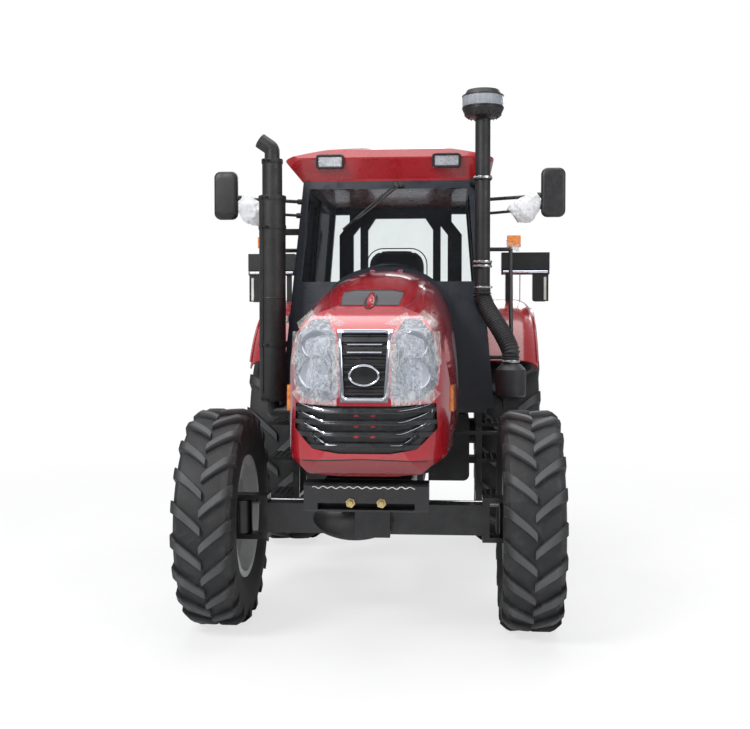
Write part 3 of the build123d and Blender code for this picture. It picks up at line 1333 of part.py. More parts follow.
# Firewall, cowl, floor and rear platform of the cab
firewall = cross_panel(screen_band(SILL_Z, FIREWALL_TOP_Z, 0, CAB_WALL))
floor_panel = cross_panel([
    (front_y(SILL_Z), SILL_Z - FLOOR_THICKNESS),
    (PLATFORM_FRONT_Y, SILL_Z - FLOOR_THICKNESS),
    (PLATFORM_FRONT_Y, SILL_Z),
    (front_y(SILL_Z), SILL_Z),
])
rear_section = HOOD_STATIONS[-1][1]
with BuildPart() as cowl:
    with BuildSketch(end_plane(COWL_REAR_Y)):
        with BuildLine():
            middle_z = (rear_section[0][1] + rear_section[-1][1]) / 2
            rim_points = [(x * COWL_SCALE, middle_z + (z - middle_z) * COWL_SCALE) for x, z in rear_section]
            other = [(-x, z) for x, z in reversed(rim_points[:-1])]
            Spline(*(rim_points + other))
            Line(other[-1], rim_points[0])
        make_face()
    extrude(amount=COWL_REAR_Y - HOOD_REAR_Y - COWL_FRONT_GAP)
    with BuildSketch(Plane.YZ):
        Polygon(
            (front_y(0) + CAB_WALL / 2, 0),
            (front_y(CAB_TOP_Z) + CAB_WALL / 2, CAB_TOP_Z),
            (CAB_REAR_Y, CAB_TOP_Z),
            (CAB_REAR_Y, 0),
            align=None,
        )
    extrude(amount=SILL_HALF_WIDTH, both=True, mode=Mode.SUBTRACT)
with BuildPart() as cab_body:
    add(cowl.part)
    add(firewall)
    add(floor_panel)
    block(
        (-FENDER_INNER_X + FENDER_GAP, FENDER_INNER_X - FENDER_GAP),
        (PLATFORM_FRONT_Y, CAB_REAR_Y),
        (PLATFORM_Z - FLOOR_THICKNESS, PLATFORM_Z),
    )
    block(
        (-FENDER_INNER_X + FENDER_GAP, FENDER_INNER_X - FENDER_GAP),
        (PLATFORM_FRONT_Y, PLATFORM_FRONT_Y + FLOOR_THICKNESS),
        (SILL_Z - FLOOR_THICKNESS, PLATFORM_Z),
    )
    for side in (1, -1):
        pin_inner = HOOD_HINGE_X - 10
        block(
            (side * (HOOD_HINGE_X + 16), side * (HOOD_HINGE_X + 28)),
            (HOOD_HINGE_Y - HOOD_PIN_RADIUS * 2, COWL_REAR_Y - 60),
            (HOOD_HINGE_Z - HOOD_PIN_RADIUS * 2, HOOD_HINGE_Z + HOOD_PIN_RADIUS * 2),
        )
        rod(
            (side * pin_inner, HOOD_HINGE_Y, HOOD_HINGE_Z),
            (side * (HOOD_HINGE_X + 20), HOOD_HINGE_Y, HOOD_HINGE_Z),
            HOOD_PIN_RADIUS,
        )
hinge_corner = [
    (HOOD_HINGE_Y - 2 * HOOD_PIN_RADIUS - 1, HOOD_HINGE_Z),
    (HOOD_HINGE_Y - 2 * HOOD_PIN_RADIUS - 1, HOOD_HINGE_Z + 2 * HOOD_PIN_RADIUS + 1),
    (HOOD_HINGE_Y, HOOD_HINGE_Z + 2 * HOOD_PIN_RADIUS + 1),
]
with BuildPart() as cab_body_trimmed:
    add(cab_body.part)
    with BuildSketch(Plane.YZ):
        Polygon(*hinge_corner, align=None)
    extrude(amount=2 * HOOD_HINGE_X, both=True, mode=Mode.SUBTRACT)
save(cab_body_trimmed.part, "cab_body")

# Roof
roof_side = [
    (ROOF_FRONT_Y + 60, ROOF_SIDE_BASE_Z),
    (ROOF_FRONT_Y, ROOF_SHOULDER_Z),
    (ROOF_FRONT_Y + 40, ROOF_CROWN_Z - 30),
    (ROOF_FRONT_Y + 160, ROOF_CROWN_Z + 2),
    (ROOF_REAR_Y - 200, ROOF_CROWN_Z + 2),
    (ROOF_REAR_Y - 30, ROOF_CROWN_Z - 40),
    (ROOF_REAR_Y, ROOF_SHOULDER_Z),
    (ROOF_REAR_Y - 80, ROOF_SIDE_BASE_Z),
    (ROOF_REAR_Y - 80, CAB_TOP_Z),
    (ROOF_FRONT_Y + 60, CAB_TOP_Z),
]
with BuildPart() as roof_body:
    with BuildSketch(end_plane(ROOF_REAR_Y)):
        with BuildLine():
            ThreePointArc((-ROOF_HALF_WIDTH, ROOF_SHOULDER_Z), (0, ROOF_CROWN_Z), (ROOF_HALF_WIDTH, ROOF_SHOULDER_Z))
            Polyline(
                (ROOF_HALF_WIDTH, ROOF_SHOULDER_Z),
                (ROOF_BASE_HALF_WIDTH, ROOF_SIDE_BASE_Z),
                (ROOF_BASE_HALF_WIDTH - 10, CAB_TOP_Z),
                (-ROOF_BASE_HALF_WIDTH + 10, CAB_TOP_Z),
                (-ROOF_BASE_HALF_WIDTH, ROOF_SIDE_BASE_Z),
                (-ROOF_HALF_WIDTH, ROOF_SHOULDER_Z),
            )
        make_face()
    extrude(amount=ROOF_REAR_Y - ROOF_FRONT_Y)
    with BuildSketch(Plane.YZ):
        Polygon(*roof_side, align=None)
    extrude(amount=ROOF_HALF_WIDTH, both=True, mode=Mode.INTERSECT)
    with BuildSketch(Plane.XY.offset(CAB_TOP_Z)):
        with Locations((0, (ROOF_FRONT_Y + ROOF_REAR_Y) / 2)):
            RectangleRounded(
                2 * (ROOF_HALF_WIDTH - ROOF_TRIM), ROOF_REAR_Y - ROOF_FRONT_Y - 2 * ROOF_TRIM, ROOF_CORNER
            )
    extrude(amount=ROOF_CROWN_Z, mode=Mode.INTERSECT)


def roof_lamp_box(side, grow):
    """The block of one work lamp in the front of the roof."""
    with BuildPart() as lamp:
        block(
            (side * (ROOF_LAMP_X - ROOF_LAMP_WIDTH / 2 - grow), side * (ROOF_LAMP_X + ROOF_LAMP_WIDTH / 2 + grow)),
            (ROOF_FRONT_Y - ROOF_LAMP_PROUD, ROOF_FRONT_Y + ROOF_LAMP_DEPTH + grow),
            (ROOF_LAMP_Z - ROOF_LAMP_HEIGHT / 2 - grow, ROOF_LAMP_Z + ROOF_LAMP_HEIGHT / 2 + grow),
        )
    return lamp.part


with BuildPart() as cab_roof:
    add(roof_body.part)
    for side in (1, -1):
        add(roof_lamp_box(side, 0), mode=Mode.SUBTRACT)
save(cab_roof.part, "cab_roof")
with BuildPart() as roof_lamps:
    for side in (1, -1):
        add(roof_lamp_box(side, 0))
save(roof_lamps.part, "roof_lamps")

# Rear fenders with the walls inside them
start_turn = math.radians(FENDER_FRONT_ANGLE)
start_radial = Vector(0, -math.sin(start_turn), math.cos(start_turn))
fender_plane = Plane(
    origin=(0, REAR_AXLE_Y, REAR_Z), x_dir=(1, 0, 0), z_dir=Vector(1, 0, 0).cross(start_radial)
)
edge_turn = math.radians(8)
outer_mid = math.radians(49)
crown_r = FENDER_RADIUS + FENDER_SHEET - FENDER_EDGE_RADIUS
with BuildPart() as rear_fenders:
    with BuildSketch(fender_plane):
        with BuildLine():
            outer_end = (FENDER_CROWN_X + FENDER_EDGE_RADIUS * math.cos(edge_turn),
                         crown_r + FENDER_EDGE_RADIUS * math.sin(edge_turn))
            outer_way = (FENDER_CROWN_X + FENDER_EDGE_RADIUS * math.cos(outer_mid),
                         crown_r + FENDER_EDGE_RADIUS * math.sin(outer_mid))
            inner_radius = FENDER_EDGE_RADIUS - FENDER_SHEET
            inner_end = (FENDER_CROWN_X + inner_radius * math.cos(edge_turn),
                         crown_r + inner_radius * math.sin(edge_turn))
            inner_way = (FENDER_CROWN_X + inner_radius * math.cos(outer_mid),
                         crown_r + inner_radius * math.sin(outer_mid))
            wall_x = FENDER_INNER_X + FENDER_SHEET
            Polyline(
                (FENDER_CROWN_X, FENDER_RADIUS),
                (wall_x, FENDER_RADIUS),
                (wall_x, FENDER_WALL_RADIUS),
                (FENDER_INNER_X, FENDER_WALL_RADIUS),
                (FENDER_INNER_X, fender_outer),
                (FENDER_CROWN_X, fender_outer),
            )
            ThreePointArc((FENDER_CROWN_X, fender_outer), outer_way, outer_end)
            Line(outer_end, inner_end)
            ThreePointArc(inner_end, inner_way, (FENDER_CROWN_X, FENDER_RADIUS))
        make_face()
    revolve(
        axis=Axis((0, REAR_AXLE_Y, REAR_Z), (-1, 0, 0)),
        revolution_arc=FENDER_FRONT_ANGLE + FENDER_REAR_ANGLE,
    )
    mirror(about=Plane.YZ)
save(rear_fenders.part, "rear_fenders")

# Rear lamps on their stands over the fenders
leg_foot_z = REAR_Z + math.sqrt(fender_outer ** 2 - (REAR_AXLE_Y - REAR_LAMP_Y) ** 2)
lamp_y = (REAR_LAMP_Y - REAR_LAMP_DEPTH / 2, REAR_LAMP_Y + REAR_LAMP_DEPTH / 2)
with BuildPart() as rear_lamps:
    block(REAR_LAMP_BAR_X, lamp_y, REAR_LAMP_BAR_Z)
    block(REAR_LAMP_BAR_X, (lamp_y[0] + 10, lamp_y[1] - 10), REAR_LAMP_RAIL_Z)
    block(REAR_LAMP_BOX_X, lamp_y, REAR_LAMP_BOX_Z)
    block(REAR_LAMP_LEG_X, (lamp_y[0] + 20, lamp_y[1] - 20), (leg_foot_z - 40, REAR_LAMP_RAIL_Z[0]))
    rod(
        (0, REAR_AXLE_Y, REAR_Z),
        (2 * SILL_HALF_WIDTH, REAR_AXLE_Y, REAR_Z),
        fender_outer,
        mode=Mode.SUBTRACT,
    )
    mirror(about=Plane.YZ)
save(rear_lamps.part, "rear_lamps")

# Marker lamps, mirrors and handrails on the front posts
def post_face(z):
    """The point of the left front post's outer face at a height."""
    return (half_width(z), front_y(z) + POST_WIDTH / 2, z)


marker_y = post_face(HANDRAIL_TOP_Z)[1]
with BuildPart() as marker_lamps:
    block(
        (MARKER_X - MARKER_WIDTH / 2, MARKER_X + MARKER_WIDTH / 2),
        (marker_y - MARKER_DEPTH / 2, marker_y + MARKER_DEPTH / 2),
        (MARKER_Z - MARKER_HEIGHT / 2, MARKER_Z + MARKER_HEIGHT / 2),
    )
    mirror(about=Plane.YZ)
save(marker_lamps.part, "marker_lamps")

with BuildPart() as handrails:
    top_seat = post_face(HANDRAIL_TOP_Z)
    foot_seat = post_face(HANDRAIL_BOTTOM_Z)
    rail_top = (HANDRAIL_X, top_seat[1], HANDRAIL_TOP_Z)
    rail_low = (HANDRAIL_X, foot_seat[1], HANDRAIL_BOTTOM_Z)
    rod((half_width(SILL_Z) / 2, top_seat[1], HANDRAIL_TOP_Z), rail_top, HANDRAIL_RADIUS)
    rod(rail_top, rail_low, HANDRAIL_RADIUS)
    rod(rail_low, (half_width(SILL_Z) / 2, foot_seat[1], HANDRAIL_BOTTOM_Z), HANDRAIL_RADIUS)
    for corner in (rail_top, rail_low):
        with Locations(corner):
            Sphere(HANDRAIL_RADIUS)
    rod(rail_top, (HANDRAIL_X, top_seat[1], MARKER_Z - MARKER_HEIGHT / 2), ARM_RADIUS)
    with BuildSketch(cab_side(0)):
        Rectangle(6 * WHEELBASE, 6 * WHEELBASE)
    extrude(amount=-2 * SILL_HALF_WIDTH, mode=Mode.SUBTRACT)
    mirror(about=Plane.YZ)
save(handrails.part, "handrails")

with BuildPart() as mirrors:
    arm_seat = post_face(MIRROR_ARM_Z + 60)
    block(MIRROR_X, (MIRROR_Y - MIRROR_THICKNESS / 2, MIRROR_Y + MIRROR_THICKNESS / 2), MIRROR_Z)
    rod((arm_seat[0] - 20, arm_seat[1], arm_seat[2]), (MIRROR_X[0] + 20, MIRROR_Y, MIRROR_ARM_Z + 90), ARM_RADIUS)
    low_seat = post_face(MIRROR_ARM_Z - 60)
    rod((low_seat[0] - 20, low_seat[1], low_seat[2]), (MIRROR_X[0] + 20, MIRROR_Y, MIRROR_ARM_Z - 30), ARM_RADIUS)
    with BuildSketch(cab_side(0)):
        Rectangle(6 * WHEELBASE, 6 * WHEELBASE)
    extrude(amount=-2 * SILL_HALF_WIDTH, mode=Mode.SUBTRACT)
    mirror(about=Plane.YZ)
save(mirrors.part, "mirrors")

# Exhaust: elbow from the engine, muffler, stack and turned tail
with BuildPart() as exhaust:
    rod((-ENGINE_HALF_WIDTH, EXHAUST_Y, ELBOW_Z), (EXHAUST_X, EXHAUST_Y, ELBOW_Z), ELBOW_RADIUS)
    with Locations((EXHAUST_X, EXHAUST_Y, ELBOW_Z)):
        Sphere(ELBOW_RADIUS)
    rod((EXHAUST_X, EXHAUST_Y, ELBOW_Z), (EXHAUST_X, EXHAUST_Y, EXHAUST_BOTTOM_Z), ELBOW_RADIUS)
    rod((EXHAUST_X, EXHAUST_Y, EXHAUST_BOTTOM_Z), (EXHAUST_X, EXHAUST_Y, MUFFLER_TOP_Z), MUFFLER_RADIUS)
    rod((EXHAUST_X, EXHAUST_Y, MUFFLER_TOP_Z), (EXHAUST_X, EXHAUST_Y, STACK_TOP_Z), STACK_RADIUS)
    tail_start = (EXHAUST_X, EXHAUST_Y, STACK_TOP_Z)
    tail_turn = (EXHAUST_X, EXHAUST_Y, STACK_TOP_Z + 70)
    tail_end = (TAIL_TIP_X, EXHAUST_Y, TAIL_TIP_Z)
    with BuildLine() as tail_path:
        FilletPolyline(tail_start, tail_turn, tail_end, radius=30)
    with BuildSketch(Plane(origin=tail_start, z_dir=(0, 0, 1))):
        Circle(TAIL_RADIUS)
    sweep(path=tail_path.line)
    with BuildSketch(Plane(origin=tail_start, z_dir=(0, 0, 1))):
        Circle(TAIL_RADIUS - TAIL_WALL)
    sweep(path=tail_path.line, mode=Mode.SUBTRACT)
    for seat_z in EXHAUST_BRACKETS:
        seat = post_face(seat_z)
        heights = (seat_z - EXHAUST_BRACKET_HALF, seat_z + EXHAUST_BRACKET_HALF)
        wall_x = -half_width(heights[0]) - EXHAUST_BRACKET_GAP
        across = (wall_x, EXHAUST_X - EXHAUST_BRACKET_HALF)
        block(across, (seat[1] - EXHAUST_BRACKET_HALF, seat[1]), heights)
        block((EXHAUST_X - EXHAUST_BRACKET_HALF, EXHAUST_X + EXHAUST_BRACKET_HALF), (EXHAUST_Y, seat[1]), heights)
save(exhaust.part, "exhaust")

# Air intake: pre-cleaner bowl, pipe with its clamps, hose and air cleaner
with BuildPart() as precleaner:
    with BuildSketch(Plane(origin=(INTAKE_X, INTAKE_Y, 0), x_dir=(1, 0, 0), z_dir=(0, -1, 0))):
        Polygon(
            (0, INTAKE_TOP_Z + BEAD_GAP),
            (INTAKE_RADIUS, INTAKE_TOP_Z + BEAD_GAP),
            (BOWL_RADIUS - 20, BOWL_BOTTOM_Z + 10),
            (BOWL_RADIUS, BOWL_BOTTOM_Z + 50),
            (BOWL_RADIUS, BOWL_TOP_Z - 60),
            (BOWL_RADIUS - 25, BOWL_TOP_Z - 15),
            (0, BOWL_TOP_Z),
            align=None,
        )
    revolve(axis=Axis((INTAKE_X, INTAKE_Y, 0), (0, 0, 1)))
save(precleaner.part, "precleaner")

with BuildPart() as intake_stack:
    rod((INTAKE_X, INTAKE_Y, INTAKE_BOTTOM_Z), (INTAKE_X, INTAKE_Y, INTAKE_TOP_Z), INTAKE_RADIUS)
    for clamp_z in CLAMP_HEIGHTS:
        rod(
            (INTAKE_X, INTAKE_Y, clamp_z - CLAMP_HEIGHT / 2),
            (INTAKE_X, INTAKE_Y, clamp_z + CLAMP_HEIGHT / 2),
            INTAKE_RADIUS + CLAMP_GROWTH,
        )
        clamp_seat = front_y(clamp_z + CLAMP_HEIGHT / 2)
        post_x = inner_half(clamp_z) + CAB_WALL / 2
        block(
            (INTAKE_X - 14, INTAKE_X + 14),
            (INTAKE_Y, min(clamp_seat, INTAKE_Y + 90)),
            (clamp_z - CLAMP_HEIGHT / 2, clamp_z + CLAMP_HEIGHT / 2),
        )
        block(
            (min(post_x, INTAKE_X) - 14, max(post_x, INTAKE_X) + 14),
            (INTAKE_Y + 62, clamp_seat + 20),
            (clamp_z - CLAMP_HEIGHT / 2, clamp_z + CLAMP_HEIGHT / 2),
        )
    with BuildSketch(Plane.YZ):
        Polygon(
            (front_y(SILL_Z), SILL_Z),
            (front_y(CAB_TOP_Z + 100), CAB_TOP_Z + 100),
            (front_y(SILL_Z) + WHEELBASE, CAB_TOP_Z + 100),
            (front_y(SILL_Z) + WHEELBASE, SILL_Z),
            align=None,
        )
    extrude(amount=half_width(SILL_Z), mode=Mode.SUBTRACT)
save(intake_stack.part, "intake_stack")

hose_points = [
    (INTAKE_X, INTAKE_Y, INTAKE_BOTTOM_Z - BEAD_GAP),
    (INTAKE_X, INTAKE_Y, INTAKE_BOTTOM_Z - HOSE_LEAD),
    (CLEANER_X, CLEANER_Y, CLEANER_TOP_Z + HOSE_LEAD),
    (CLEANER_X, CLEANER_Y, CLEANER_TOP_Z + BEAD_GAP),
]
with BuildPart() as intake_hose:
    with BuildLine() as hose_path:
        FilletPolyline(*hose_points, radius=HOSE_BEND)
    with BuildSketch(Plane(origin=hose_points[0], z_dir=(0, 0, -1))):
        Circle(HOSE_RADIUS)
    sweep(path=hose_path.line)
save(intake_hose.part, "intake_hose")
hose_bends = [edge.radius for edge in hose_path.line.edges() if edge.geom_type == GeomType.CIRCLE]
print("intake hose: bend radii", [round(radius) for radius in hose_bends])

with BuildPart() as air_cleaner:
    with BuildSketch(Plane(origin=(CLEANER_X, CLEANER_Y, 0), x_dir=(1, 0, 0), z_dir=(0, -1, 0))):
        Polygon(
            (0, CLEANER_BOTTOM_Z),
            (CLEANER_RADIUS - 8, CLEANER_BOTTOM_Z),
            (CLEANER_RADIUS, CLEANER_BOTTOM_Z + 8),
            (CLEANER_RADIUS, CLEANER_TOP_Z - CLEANER_DOME),
            (CLEANER_RADIUS - CLEANER_DOME, CLEANER_TOP_Z),
            (0, CLEANER_TOP_Z),
            align=None,
        )
    revolve(axis=Axis((CLEANER_X, CLEANER_Y, 0), (0, 0, 1)))
    block(
        (ENGINE_HALF_WIDTH, CLEANER_X + CLEANER_BRACKET_WIDTH / 2),
        (CLEANER_Y - CLEANER_BRACKET_WIDTH / 2, CLEANER_Y + CLEANER_BRACKET_WIDTH / 2),
        (CLEANER_BRACKET_Z, CLEANER_BRACKET_Z + CLEANER_BRACKET_THICKNESS),
    )
    block(
        (CLEANER_X - CLEANER_BRACKET_WIDTH / 2, CLEANER_X + CLEANER_BRACKET_WIDTH / 2),
        (CLEANER_Y - CLEANER_BRACKET_WIDTH / 2, CLEANER_Y + CLEANER_BRACKET_WIDTH / 2),
        (CLEANER_BRACKET_Z, CLEANER_BOTTOM_Z),
    )
save(air_cleaner.part, "air_cleaner")

# Operator's seat
with BuildPart() as operator_seat:
    block((-120, 120), (SEAT_Y - 140, SEAT_Y + 140), (PLATFORM_Z, CUSHION_Z))
    block(
        (-SEAT_WIDTH / 2, SEAT_WIDTH / 2),
        (SEAT_Y - SEAT_DEPTH / 2, SEAT_Y + SEAT_DEPTH / 2),
        (CUSHION_Z, CUSHION_Z + CUSHION_THICKNESS),
    )
    back_y = SEAT_Y + SEAT_DEPTH / 2 - BACKREST_THICKNESS
    with BuildSketch(end_plane(back_y + BACKREST_THICKNESS)):
        with BuildLine():
            shoulder = BACKREST_TOP_Z - 140
            Polyline(
                (-SEAT_WIDTH / 2 + 25, shoulder),
                (-SEAT_WIDTH / 2, CUSHION_Z + CUSHION_THICKNESS / 2),
                (SEAT_WIDTH / 2, CUSHION_Z + CUSHION_THICKNESS / 2),
                (SEAT_WIDTH / 2 - 25, shoulder),
            )
            ThreePointArc((SEAT_WIDTH / 2 - 25, shoulder), (0, BACKREST_TOP_Z), (-SEAT_WIDTH / 2 + 25, shoulder))
        make_face()
    extrude(amount=BACKREST_THICKNESS)
save(operator_seat.part, "operator_seat")

# Dashboard on the firewall, with the steering column and wheel
with BuildPart() as dashboard:
    with BuildSketch(Plane.YZ):
        Polygon(
            (front_y(SILL_Z) + CAB_WALL, SILL_Z),
            (front_y(SILL_Z) + CAB_WALL + 180, SILL_Z),
            (DASH_Y + 80, DASH_TOP_Z - 180),
            (DASH_Y + 60, DASH_TOP_Z),
            (front_y(DASH_TOP_Z) + CAB_WALL, DASH_TOP_Z),
            align=None,
        )
    extrude(amount=DASH_HALF_WIDTH, both=True)
save(dashboard.part, "dashboard")

wheel_turn = math.radians(STEERING_WHEEL_TILT)
wheel_normal = Vector(0, math.sin(wheel_turn), math.cos(wheel_turn))
wheel_centre = Vector(0, STEERING_WHEEL_Y, STEERING_WHEEL_Z)
wheel_plane = Plane(origin=wheel_centre, x_dir=(1, 0, 0), z_dir=wheel_normal)
with BuildPart() as steering_wheel:
    with Locations(wheel_plane):
        Torus(STEERING_WHEEL_RADIUS, STEERING_WHEEL_RIM)
        Cylinder(45, 30)
        for turn in (90, 210, 330):
            with Locations(Location((0, 0, 0), (0, 0, turn))):
                Box(STEERING_WHEEL_RADIUS, 28, 12, align=(Align.MIN, Align.CENTER, Align.CENTER))
    rod(tuple(wheel_centre), tuple(wheel_centre - wheel_normal * 330), 26)
    add(dashboard.part, mode=Mode.SUBTRACT)
save(steering_wheel.part, "steering_wheel")

# Side tanks between the gearbox and the steps: fuel on the left, battery on the right
with BuildPart() as side_tanks:
    block(TANK_X, (TANK_FRONT_Y, TANK_FRONT_Y + TANK_LENGTH), TANK_Z)
    fillet(side_tanks.edges().filter_by(Axis.Y).group_by(Axis.X)[-1], TANK_ROUND)
    block((GEARBOX_HALF_WIDTH, TANK_X[0]), (TANK_FRONT_Y + 80, TANK_FRONT_Y + 160), (TANK_Z[0] + 60, TANK_Z[1] - 120))
    block(
        (GEARBOX_HALF_WIDTH, TANK_X[0]),
        (TANK_FRONT_Y + TANK_LENGTH - 160, TANK_FRONT_Y + TANK_LENGTH - 80),
        (TANK_Z[0] + 60, TANK_Z[1] - 120),
    )
    mirror(about=Plane.YZ)
save(side_tanks.part, "side_tanks")

# Steps below the doors
with BuildPart() as steps:
    for step_z in STEP_HEIGHTS:
        block(STEP_X, (STEP_Y - STEP_HALF_LENGTH, STEP_Y + STEP_HALF_LENGTH), (step_z, step_z + STEP_PLATE))
    for end in (-1, 1):
        rail_y = STEP_Y + end * STEP_HALF_LENGTH
        block(
            (STEP_X[0], STEP_X[0] + 40),
            (rail_y - 8 * (1 + end), rail_y + 8 * (1 - end)),
            (STEP_HEIGHTS[0], SILL_Z - FLOOR_THICKNESS),
        )
    block(
        (TANK_X[1], STEP_X[0]),
        (STEP_Y - 60, STEP_Y + 60),
        (STEP_HEIGHTS[1] - 20, STEP_HEIGHTS[1] + STEP_PLATE),
    )
    mirror(about=Plane.YZ)
save(steps.part, "steps")
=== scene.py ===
import math
import bmesh
import bpy
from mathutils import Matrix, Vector
from mathutils import noise as turbulence
from mathutils.bvhtree import BVHTree


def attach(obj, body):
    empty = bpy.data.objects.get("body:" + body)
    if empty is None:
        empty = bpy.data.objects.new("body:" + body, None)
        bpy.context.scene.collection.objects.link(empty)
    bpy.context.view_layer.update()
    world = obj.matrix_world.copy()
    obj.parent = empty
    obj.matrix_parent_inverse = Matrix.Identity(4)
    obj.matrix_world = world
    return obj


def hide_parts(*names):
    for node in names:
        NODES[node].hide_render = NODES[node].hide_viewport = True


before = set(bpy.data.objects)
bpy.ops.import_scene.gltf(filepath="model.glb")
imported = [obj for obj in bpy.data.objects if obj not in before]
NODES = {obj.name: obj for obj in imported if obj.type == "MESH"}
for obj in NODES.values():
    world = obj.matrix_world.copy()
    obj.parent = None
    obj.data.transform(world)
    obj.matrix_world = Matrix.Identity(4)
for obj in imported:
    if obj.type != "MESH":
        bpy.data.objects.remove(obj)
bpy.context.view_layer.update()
SCENE = bpy.context.scene
SIDES = ((1, "left"), (-1, "right"))
HOOD = ("hood_shell", "headlamps", "grilles", "grille_surround", "hood_vents")
TREES = {}

# Places that the CAD part shares with the pieces added here
FRONT_AXLE_Y = -1.375
REAR_AXLE_Y = 0.965
REAR_AXLE_Z = 0.832
CAB_FRONT_Y = -0.435
CAB_FLOOR_Z = 1.105
PLATFORM_Z = 1.10
HOOD_FRONT_Y = -1.9
BADGE_Z = 1.372
INTAKE = (0.597, -0.437)
CLEANER = (0.764, -0.615)
EXHAUST = (-0.702, -0.535)
MIRROR_X = 1.0415
MIRROR_Z = 2.455


# Materials
def new_material(name):
    material = bpy.data.materials.new(name)
    material.use_nodes = True
    tree = material.node_tree
    return material, tree, tree.nodes["Principled BSDF"]


def settle(node, values):
    """Sets a node's inputs by their names."""
    for name, value in values.items():
        node.inputs[name].default_value = value


def coordinates(tree, scale):
    place = tree.nodes.new("ShaderNodeTexCoord")
    mapping = tree.nodes.new("ShaderNodeMapping")
    mapping.inputs["Scale"].default_value = (scale,) * 3 if isinstance(scale, float) else scale
    tree.links.new(place.outputs["Object"], mapping.inputs["Vector"])
    return mapping.outputs["Vector"]


def noise(tree, scale, detail=4.0, rough=0.55, distortion=0.0, stretch=1.0):
    node = tree.nodes.new("ShaderNodeTexNoise")
    settle(node, {"Scale": scale, "Detail": detail, "Roughness": rough, "Distortion": distortion})
    tree.links.new(coordinates(tree, stretch), node.inputs["Vector"])
    return node.outputs["Fac"]


def ramp(tree, source, stops):
    node = tree.nodes.new("ShaderNodeValToRGB")
    elements = node.color_ramp.elements
    while len(elements) < len(stops):
        elements.new(0.5)
    for element, (place, colour) in zip(elements, stops):
        element.position = place
        element.color = (*colour, 1.0)
    tree.links.new(source, node.inputs["Fac"])
    return node.outputs["Color"]


def grey_ramp(tree, source, low, high, low_value=0.0, high_value=1.0):
    return ramp(tree, source, [(low, (low_value,) * 3), (high, (high_value,) * 3)])


def mix(tree, factor, first, second):
    node = tree.nodes.new("ShaderNodeMix")
    node.data_type = "RGBA"
    for value, socket in ((factor, node.inputs[0]), (first, node.inputs[6]), (second, node.inputs[7])):
        if hasattr(value, "links"):
            tree.links.new(value, socket)
        else:
            socket.default_value = value if isinstance(value, float) else (*value, 1.0)
    return node.outputs[2]


def bump(tree, shader, source, strength, distance, previous=None):
    node = tree.nodes.new("ShaderNodeBump")
    settle(node, {"Strength": strength, "Distance": distance})
    tree.links.new(source, node.inputs["Height"])
    if previous is not None:
        tree.links.new(previous, node.inputs["Normal"])
    tree.links.new(node.outputs["Normal"], shader.inputs["Normal"])
    return node.outputs["Normal"]


def height(tree, low, high):
    """0 below the low height and 1 above the high one, from the object's own coordinates."""
    place = tree.nodes.new("ShaderNodeTexCoord")
    split = tree.nodes.new("ShaderNodeSeparateXYZ")
    tree.links.new(place.outputs["Object"], split.inputs["Vector"])
    node = tree.nodes.new("ShaderNodeMapRange")
    settle(node, {"From Min": low, "From Max": high})
    tree.links.new(split.outputs["Z"], node.inputs["Value"])
    return node.outputs["Result"]


def combine(tree, operation, first, second, clamp=False):
    node = tree.nodes.new("ShaderNodeMath")
    node.operation = operation
    node.use_clamp = clamp
    tree.links.new(first, node.inputs[0])
    tree.links.new(second, node.inputs[1])
    return node.outputs["Value"]


def see_through(tree, colour=(1.0, 1.0, 1.0)):
    node = tree.nodes.new("ShaderNodeBsdfTransparent")
    node.inputs["Color"].default_value = (*colour, 1.0)
    return node


def join_shaders(tree, factor, first, second, output="Material Output"):
    """Sends a mix of two shaders to the output."""
    joined = tree.nodes.new("ShaderNodeMixShader")
    tree.links.new(factor, joined.inputs["Fac"])
    tree.links.new(first.outputs[0], joined.inputs[1])
    tree.links.new(second.outputs[0], joined.inputs[2])
    tree.links.new(joined.outputs["Shader"], tree.nodes[output].inputs["Surface"])


def seen_by_camera(tree):
    """1 where the camera looks, straight or through glass."""
    path = tree.nodes.new("ShaderNodeLightPath")
    return combine(tree, "MAXIMUM", path.outputs["Is Camera Ray"], path.outputs["Is Transmission Ray"])


def paint(name, colour, dark, rough, coat, dust, dust_colour=(0.33, 0.29, 0.24), peel=0.05, shade_below=None):
    """Painted sheet: slight colour drift, fine orange peel, thin dust gathered in places, and painted shade below
    a height where one is given.
    """
    material, tree, shader = new_material(name)
    drift = noise(tree, 2.2, 3.0)
    base = mix(tree, grey_ramp(tree, drift, 0.35, 0.68), dark, colour)
    if shade_below:
        # painted shade: the colour turns much darker below this height
        base = mix(tree, height(tree, shade_below - 0.003, shade_below + 0.003), tuple(c * 0.6 for c in dark), base)
    spots = grey_ramp(tree, noise(tree, 38.0, 6.0, 0.7), 0.52, 0.80, 0.0, dust)
    tree.links.new(mix(tree, spots, base, dust_colour), shader.inputs["Base Color"])
    wear = grey_ramp(tree, noise(tree, 16.0, 5.0), 0.3, 0.75, rough * 0.75, rough * 1.35)
    tree.links.new(wear, shader.inputs["Roughness"])
    settle(shader, {"Coat Weight": coat, "Coat Roughness": 0.08})
    bump(tree, shader, noise(tree, 420.0, 2.0), peel, 0.0006)
    return material


def metal(name, colour, rough, stained=0.35):
    material, tree, shader = new_material(name)
    patches = grey_ramp(tree, noise(tree, 9.0, 6.0, 0.65), 0.5, 0.78, 0.0, stained)
    tree.links.new(mix(tree, patches, colour, (0.22, 0.2, 0.18)), shader.inputs["Base Color"])
    shader.inputs["Metallic"].default_value = 1.0
    streaks = noise(tree, 60.0, 3.0, stretch=(1.0, 1.0, 14.0))
    tree.links.new(grey_ramp(tree, streaks, 0.3, 0.7, rough * 0.7, rough * 1.4), shader.inputs["Roughness"])
    bump(tree, shader, streaks, 0.08, 0.0005)
    return material


